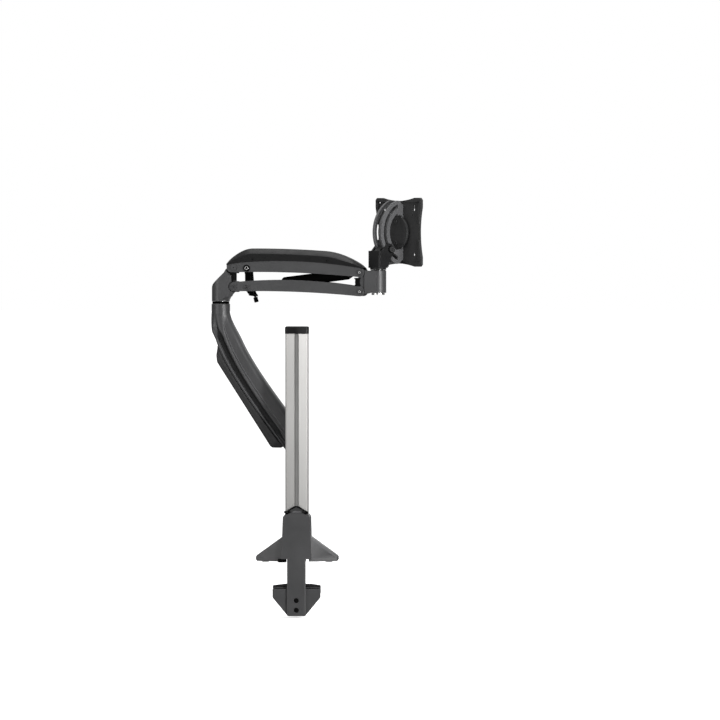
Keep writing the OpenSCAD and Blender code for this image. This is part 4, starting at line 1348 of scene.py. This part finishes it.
@dataclass
class UpperArm(SubAssembly):
    """Two links, the domed cover, the tension post with its knob, and the gas spring."""

    length: float = 216.0
    droop: float = 2.1
    pin_r: float = 4.4
    half: float = 16.2
    wall: float = 2.2
    band: float = 8.6
    start: float = -12.6
    end: float = 221.0
    base: float = 8.0
    crown: float = 26.3
    peak: float = 95.0
    sag: float = 0.0003
    nose: tuple[float, float] = (42, 0.8)  # length and fullness of the end at the elbow
    tail: tuple[float, float] = (68, 0.72)  # the same at the clevis
    link_rise: float = 7.2
    link_top: float = 7.8

    def build(self) -> None:
        """Makes the cover, rounds the links and dresses the pins, post and spring."""
        self.round_off({"tension_post": 0.5, "tension_knob": 0.3, "spring_cylinder": 0.5}, self.palette.matt)
        self.round_off({"lower_link": 0.6, "tension_pins": 0.25})
        self.link()
        self.dome()
        self.pin_heads("tension", "tension", [at("tension_post_turn")],
                       PinLook(dark_r=4.5, dark_wire=1.1, light_r=2.6, light_wire=0.75, socket=1.8))
        self.pin_heads("tension_foot", "tension", [at("spring_turn")],
                       PinLook(lid=5.0, dark_r=3.0, dark_wire=0.35))
        self.knob_ribs()

    def frame_at(self) -> Matrix:
        """The upper link's own frame, with its X along the line of pivots."""
        droop = Matrix.Rotation(math.radians(self.droop), 4, "Y")
        return UPPER @ Matrix.Translation(pivot("arm_lift")) @ droop

    def link(self) -> None:
        """The upper link, with its walls carried on past the elbow pin."""
        link, frame_at = merged_copy("upper_link"), self.frame_at()
        outline = [(2, 7.8), (-9.0, 7.4), (-11.4, 5.4), (-12.3, 1.6), (-11.7, -3.0), (-9.6, -6.3),
                   (-6.4, -7.8), (2, -7.8)]
        for low, high in ((-15.5, -12.5), (12.5, 15.5)):
            cheek = prism(outline, low, high, frame_at, True)
            joined(cheek, "DIFFERENCE", prism(round_line(self.pin_r, 48), low - 1, high + 1, frame_at, True))
            joined(link, "UNION", cheek)
        self.stand_in("upper_link", link, 0.6)

    def height(self, u: float) -> float:
        """How high the cover's back stands over the line of pivots.

        Args:
            u: Place along the link, in millimetres from its first pivot.

        Returns:
            The height in millimetres.
        """
        swell = self.crown - self.sag * (u - self.peak) ** 2
        for way, (length, power) in ((u - self.start, self.nose), (self.end - u, self.tail)):
            swell *= math.sin(math.pi / 2 * max(0.0, min(1.0, way / length))) ** power
        return self.base + swell

    def edge(self, u: float) -> float:
        """How high the cover's lower edge lies over the line of pivots.

        Args:
            u: Place along the link, in millimetres from its first pivot.

        Returns:
            The height in millimetres.
        """
        arch = 4 * self.link_rise * u * (self.length - u) / self.length ** 2
        fall = min(u, self.length - u, 0) * 0.3
        return self.link_top - 0.5 + max(arch, 0) + fall

    def dome_ring(self, share: float, inset: float) -> list[Vector]:
        """The cover's section, from one lower edge over the back to the other.

        Args:
            share: Place along the cover, from 0 to 1.
            inset: How far the surface lies inside the outer one.

        Returns:
            The points.
        """
        u = mix(self.start + inset, self.end - inset, share)
        low = self.edge(u)
        high = max(self.height(u) - inset, low + 0.5 + (0.05 if inset else 0.1))
        half = self.half - inset
        drop = min(self.band, (high - low) * 0.5)
        rim = high - drop
        side = [(half, low), (half, mix(low, rim, 0.5)), (half - 0.1, rim - 0.3), (half - 0.5, rim + 0.4),
                (half - 6.6, high - drop * 0.12), (half - 7.8, high - drop * 0.02),
                (half - 9.6, high + 0.1), (half / 4, high + 0.2)]
        return [Vector((u, w, v)) for w, v in both(side)]

    def dome(self) -> None:
        """The moulded cover, a shell that stands on the upper link."""
        frame_at, work = self.frame_at(), bmesh.new()
        sheets = []
        for inset in (0.0, self.wall):
            rings = [self.dome_ring(share, inset) for share in shares(72)]
            sheets.append([[work.verts.new(frame_at @ p) for p in ring] for ring in rings])
        for rows in sheets:
            for low, high in zip(rows, rows[1:]):
                strip(work, low, high)
        outer, inner = sheets
        for i in (0, -1):
            strip(work, [row[i] for row in outer], [row[i] for row in inner])
            strip(work, outer[i], inner[i])
        self.fit(finished("link_dome", work, 24), "upper_link", Slot.PLASTIC, "link_cover")

    def knob_ribs(self) -> None:
        """Fine ribs round the tension knob."""
        spin = Vector(joint("tension_spin")["axis"])
        middle = at("tension_spin") - spin * 6.6 * MM
        self.grow(self.trees.ribs, "knob_ribs", "knob", Slot.PLASTIC, [(middle, spin)],
                       self.palette.matt, Count=18, Radius=3.3 * MM, Height=7.4 * MM, Rib=0.32 * MM)


@dataclass
class Knuckle(SubAssembly):
    """The front clevis that carries the head."""

    lug: float = 12.15
    inside: float = 7.5
    proud: float = 0.25

    def build(self) -> None:
        """Rounds the clevis, dresses its pins and fits the fork's cheeks."""
        self.round_off({"front_clevis": 1.0, "clevis_pins": 0.25, "swivel_bush": 0.3})
        drop = at("lower_link_turn") - at("arm_lift")
        top = at("clevis_turn")
        self.pin_heads("clevis", "clevis", [top, top + drop], PinLook(
            lid=4.6, dark_r=2.6, dark_wire=0.35, light_r=1.5, light_wire=0.6, socket=0.8))
        self.fork()

    def fork(self) -> None:
        """Black cheeks on both sides of the spring's eye, between the two pins."""
        pin, outer = pivot("clevis_turn"), self.lug + self.proud
        cheek = shifted([(-10.5, -9.0), (-8.2, -12.5), (-8.8, -16), (-8.2, -19.5), (-10.5, -23), (1.2, -23),
                         (1.2, -9.0)], pin)
        shim = shifted([(-6.5, -8.9), (-6.5, -23.1), (1.2, -23.1), (-0.4, -16), (1.2, -8.9)], pin)
        for side, ends, faces in (("near", (-self.lug, -self.inside), (-outer, -self.lug)),
                                  ("far", (self.inside, self.lug), (self.lug, outer))):
            block = prism(cheek, *ends, UPPER, True, "fork_cheek_" + side)
            self.fit(rounded(block, 0.4), "clevis", Slot.RUBBER)
            self.shim("fork_shim_" + side, "clevis", shim, *faces)


@dataclass
class TiltHead(SubAssembly):
    """The head post, the slotted arcs and the hub."""

    widths: dict[str, float] = field(default_factory=lambda: {
        "head_post": 1.0, "tilt_cradle": 0.6, "hub_rivet": 0.2})

    def build(self) -> None:
        """Rounds every piece of the head."""
        self.round_off(self.widths)
        self.round_off({"hub_disc": 0.7, "hub_screws": 0.25, "tilt_bolt": 0.3}, self.palette.satin)
        self.round_off({"tilt_washers": 0.15}, self.palette.matt)


@dataclass
class ScreenPlate(SubAssembly):
    """The plate that carries the screen."""


    def build(self) -> None:
        """Rounds the plate's edges."""
        self.round_off({"vesa_plate": 0.5}, self.palette.satin)


class Studio:
    """Floor, backdrop, lamps and camera."""

    target = Vector((0.105, 0.0, 0.337))
    distance = 10.0
    azimuth = 2.2
    elevation = 1.2
    lens = 300.0
    ambient = 0.14
    zenith = 1.0
    bounce = 0.2
    backdrop = 0.9
    glow = 0.62

    def build(self) -> None:
        """Makes the whole studio."""
        self.world()
        self.floor()
        self.lamps()
        self.camera()

    def world(self) -> None:
        """A white room: full white to the camera, softer as a light."""
        world = bpy.data.worlds.new("room")
        bpy.context.scene.world = world
        world.use_nodes = True
        room = Graph(world.node_tree)
        way = room.add("ShaderNodeTexCoord").outputs["Generated"]
        height = room.add("ShaderNodeSeparateXYZ", Vector=way).outputs["Z"]
        sky = room.add("ShaderNodeMapRange", Value=height, From_Min=0.05, To_Min=self.ambient,
                       To_Max=self.zenith)
        seen = room.add("ShaderNodeLightPath").outputs["Is Camera Ray"]
        strength = room.add("ShaderNodeMix", Factor=seen, A=sky, B=1.0)
        room.fill(room.tree.nodes["Background"], Color=WHITE, Strength=strength)

    def floor(self) -> None:
        """A pale floor under the clamp that keeps a soft shadow."""
        low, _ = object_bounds()
        bpy.ops.mesh.primitive_plane_add(size=80, location=(0, 0, low.z - 0.004))
        plane = bpy.context.object
        plane.name = "floor"
        nodes = Nodes("pale_floor")
        seen = nodes.add("ShaderNodeLightPath").outputs["Is Camera Ray"]
        pale = nodes.add("ShaderNodeMapRange", To_Min=self.bounce, To_Max=self.backdrop, Value=seen)
        glow = nodes.add("ShaderNodeMapRange", To_Max=self.glow, Value=seen)
        nodes.fill(nodes.shader, Roughness=0.9, Specular_IOR_Level=0.0, Base_Color=pale, Emission_Color=WHITE,
                   Emission_Strength=glow)
        plane.data.materials.append(nodes.material)
        plane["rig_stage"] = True

    def aimed(self, name: str, data: bpy.types.ID, place_at: Vector, way: Vector) -> Piece:
        """Sets up a lamp or the camera.

        Args:
            name: The object's name.
            data: The lamp or camera.
            place_at: Its place in metres.
            way: The direction in which it looks.

        Returns:
            The object.
        """
        obj = linked(name, data)
        obj.location = place_at
        obj.rotation_mode = "QUATERNION"
        obj.rotation_quaternion = way.to_track_quat("-Z", "Y")
        return obj

    def lamps(self) -> None:
        """A tall key and a broad lamp from the right, a fill from the left, and soft ones all round.

        Each row holds a lamp's name, its place and its size in metres, and its power in watts.
        """
        for name, place_at, size, power in (
                ("key", (0.90, -1.20, 0.46), (0.16, 0.40), 14.5),
                ("side", (1.75, -1.60, 0.20), (1.2, 0.9), 18),
                ("fill", (-1.75, -1.60, 0.20), (1.2, 0.9), 15),
                ("front", (-0.3, -3.0, 1.3), (1.6, 0.8), 4),
                ("top", (0.1, -0.2, 2.4), (1.8, 1.2), 27),
                ("rear", (0.5, 2.8, 0.7), (2.0, 1.2), 5)):
            light = bpy.data.lights.new(name, "AREA")
            light.shape, light.size, light.size_y, light.energy = "RECTANGLE", *size, power
            self.aimed(name, light, Vector(place_at), self.target - Vector(place_at))

    def camera(self) -> None:
        """A long lens, level with the arm and a little to its right."""
        data = bpy.data.cameras.new("camera")
        data.lens, data.sensor_width, data.clip_end = self.lens, 36.0, 200
        turn, rise = math.radians(self.azimuth), math.radians(self.elevation)
        back = Vector((math.sin(turn) * math.cos(rise), -math.cos(turn) * math.cos(rise), math.sin(rise)))
        bpy.context.scene.camera = self.aimed("camera", data, self.target + back * self.distance, -back)


def dress_nodes(palette: Palette) -> None:
    """Gives every CAD node its finish.

    Args:
        palette: The finishes.
    """
    for name, obj in frame["nodes"].items():
        obj.data.materials.clear()
        obj.data.materials.append(palette[slot_of(name)])
        shade(obj, 32)


def main() -> None:
    """Builds the studio, the finishes and every sub-assembly."""
    logging.basicConfig(level=logging.INFO, format="%(message)s")
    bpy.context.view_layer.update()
    bpy.context.scene.view_settings.view_transform = "Standard"
    Studio().build()
    palette = Palette()
    dress_nodes(palette)
    trees = Trees()
    for kind in (ClampBase, Column, Carriage, LowerArm, Elbow, UpperArm, Knuckle, TiltHead, ScreenPlate):
        LOG.info("building %s", kind.__name__)
        kind(palette, trees).build()


if __name__ == "__main__":
    main()
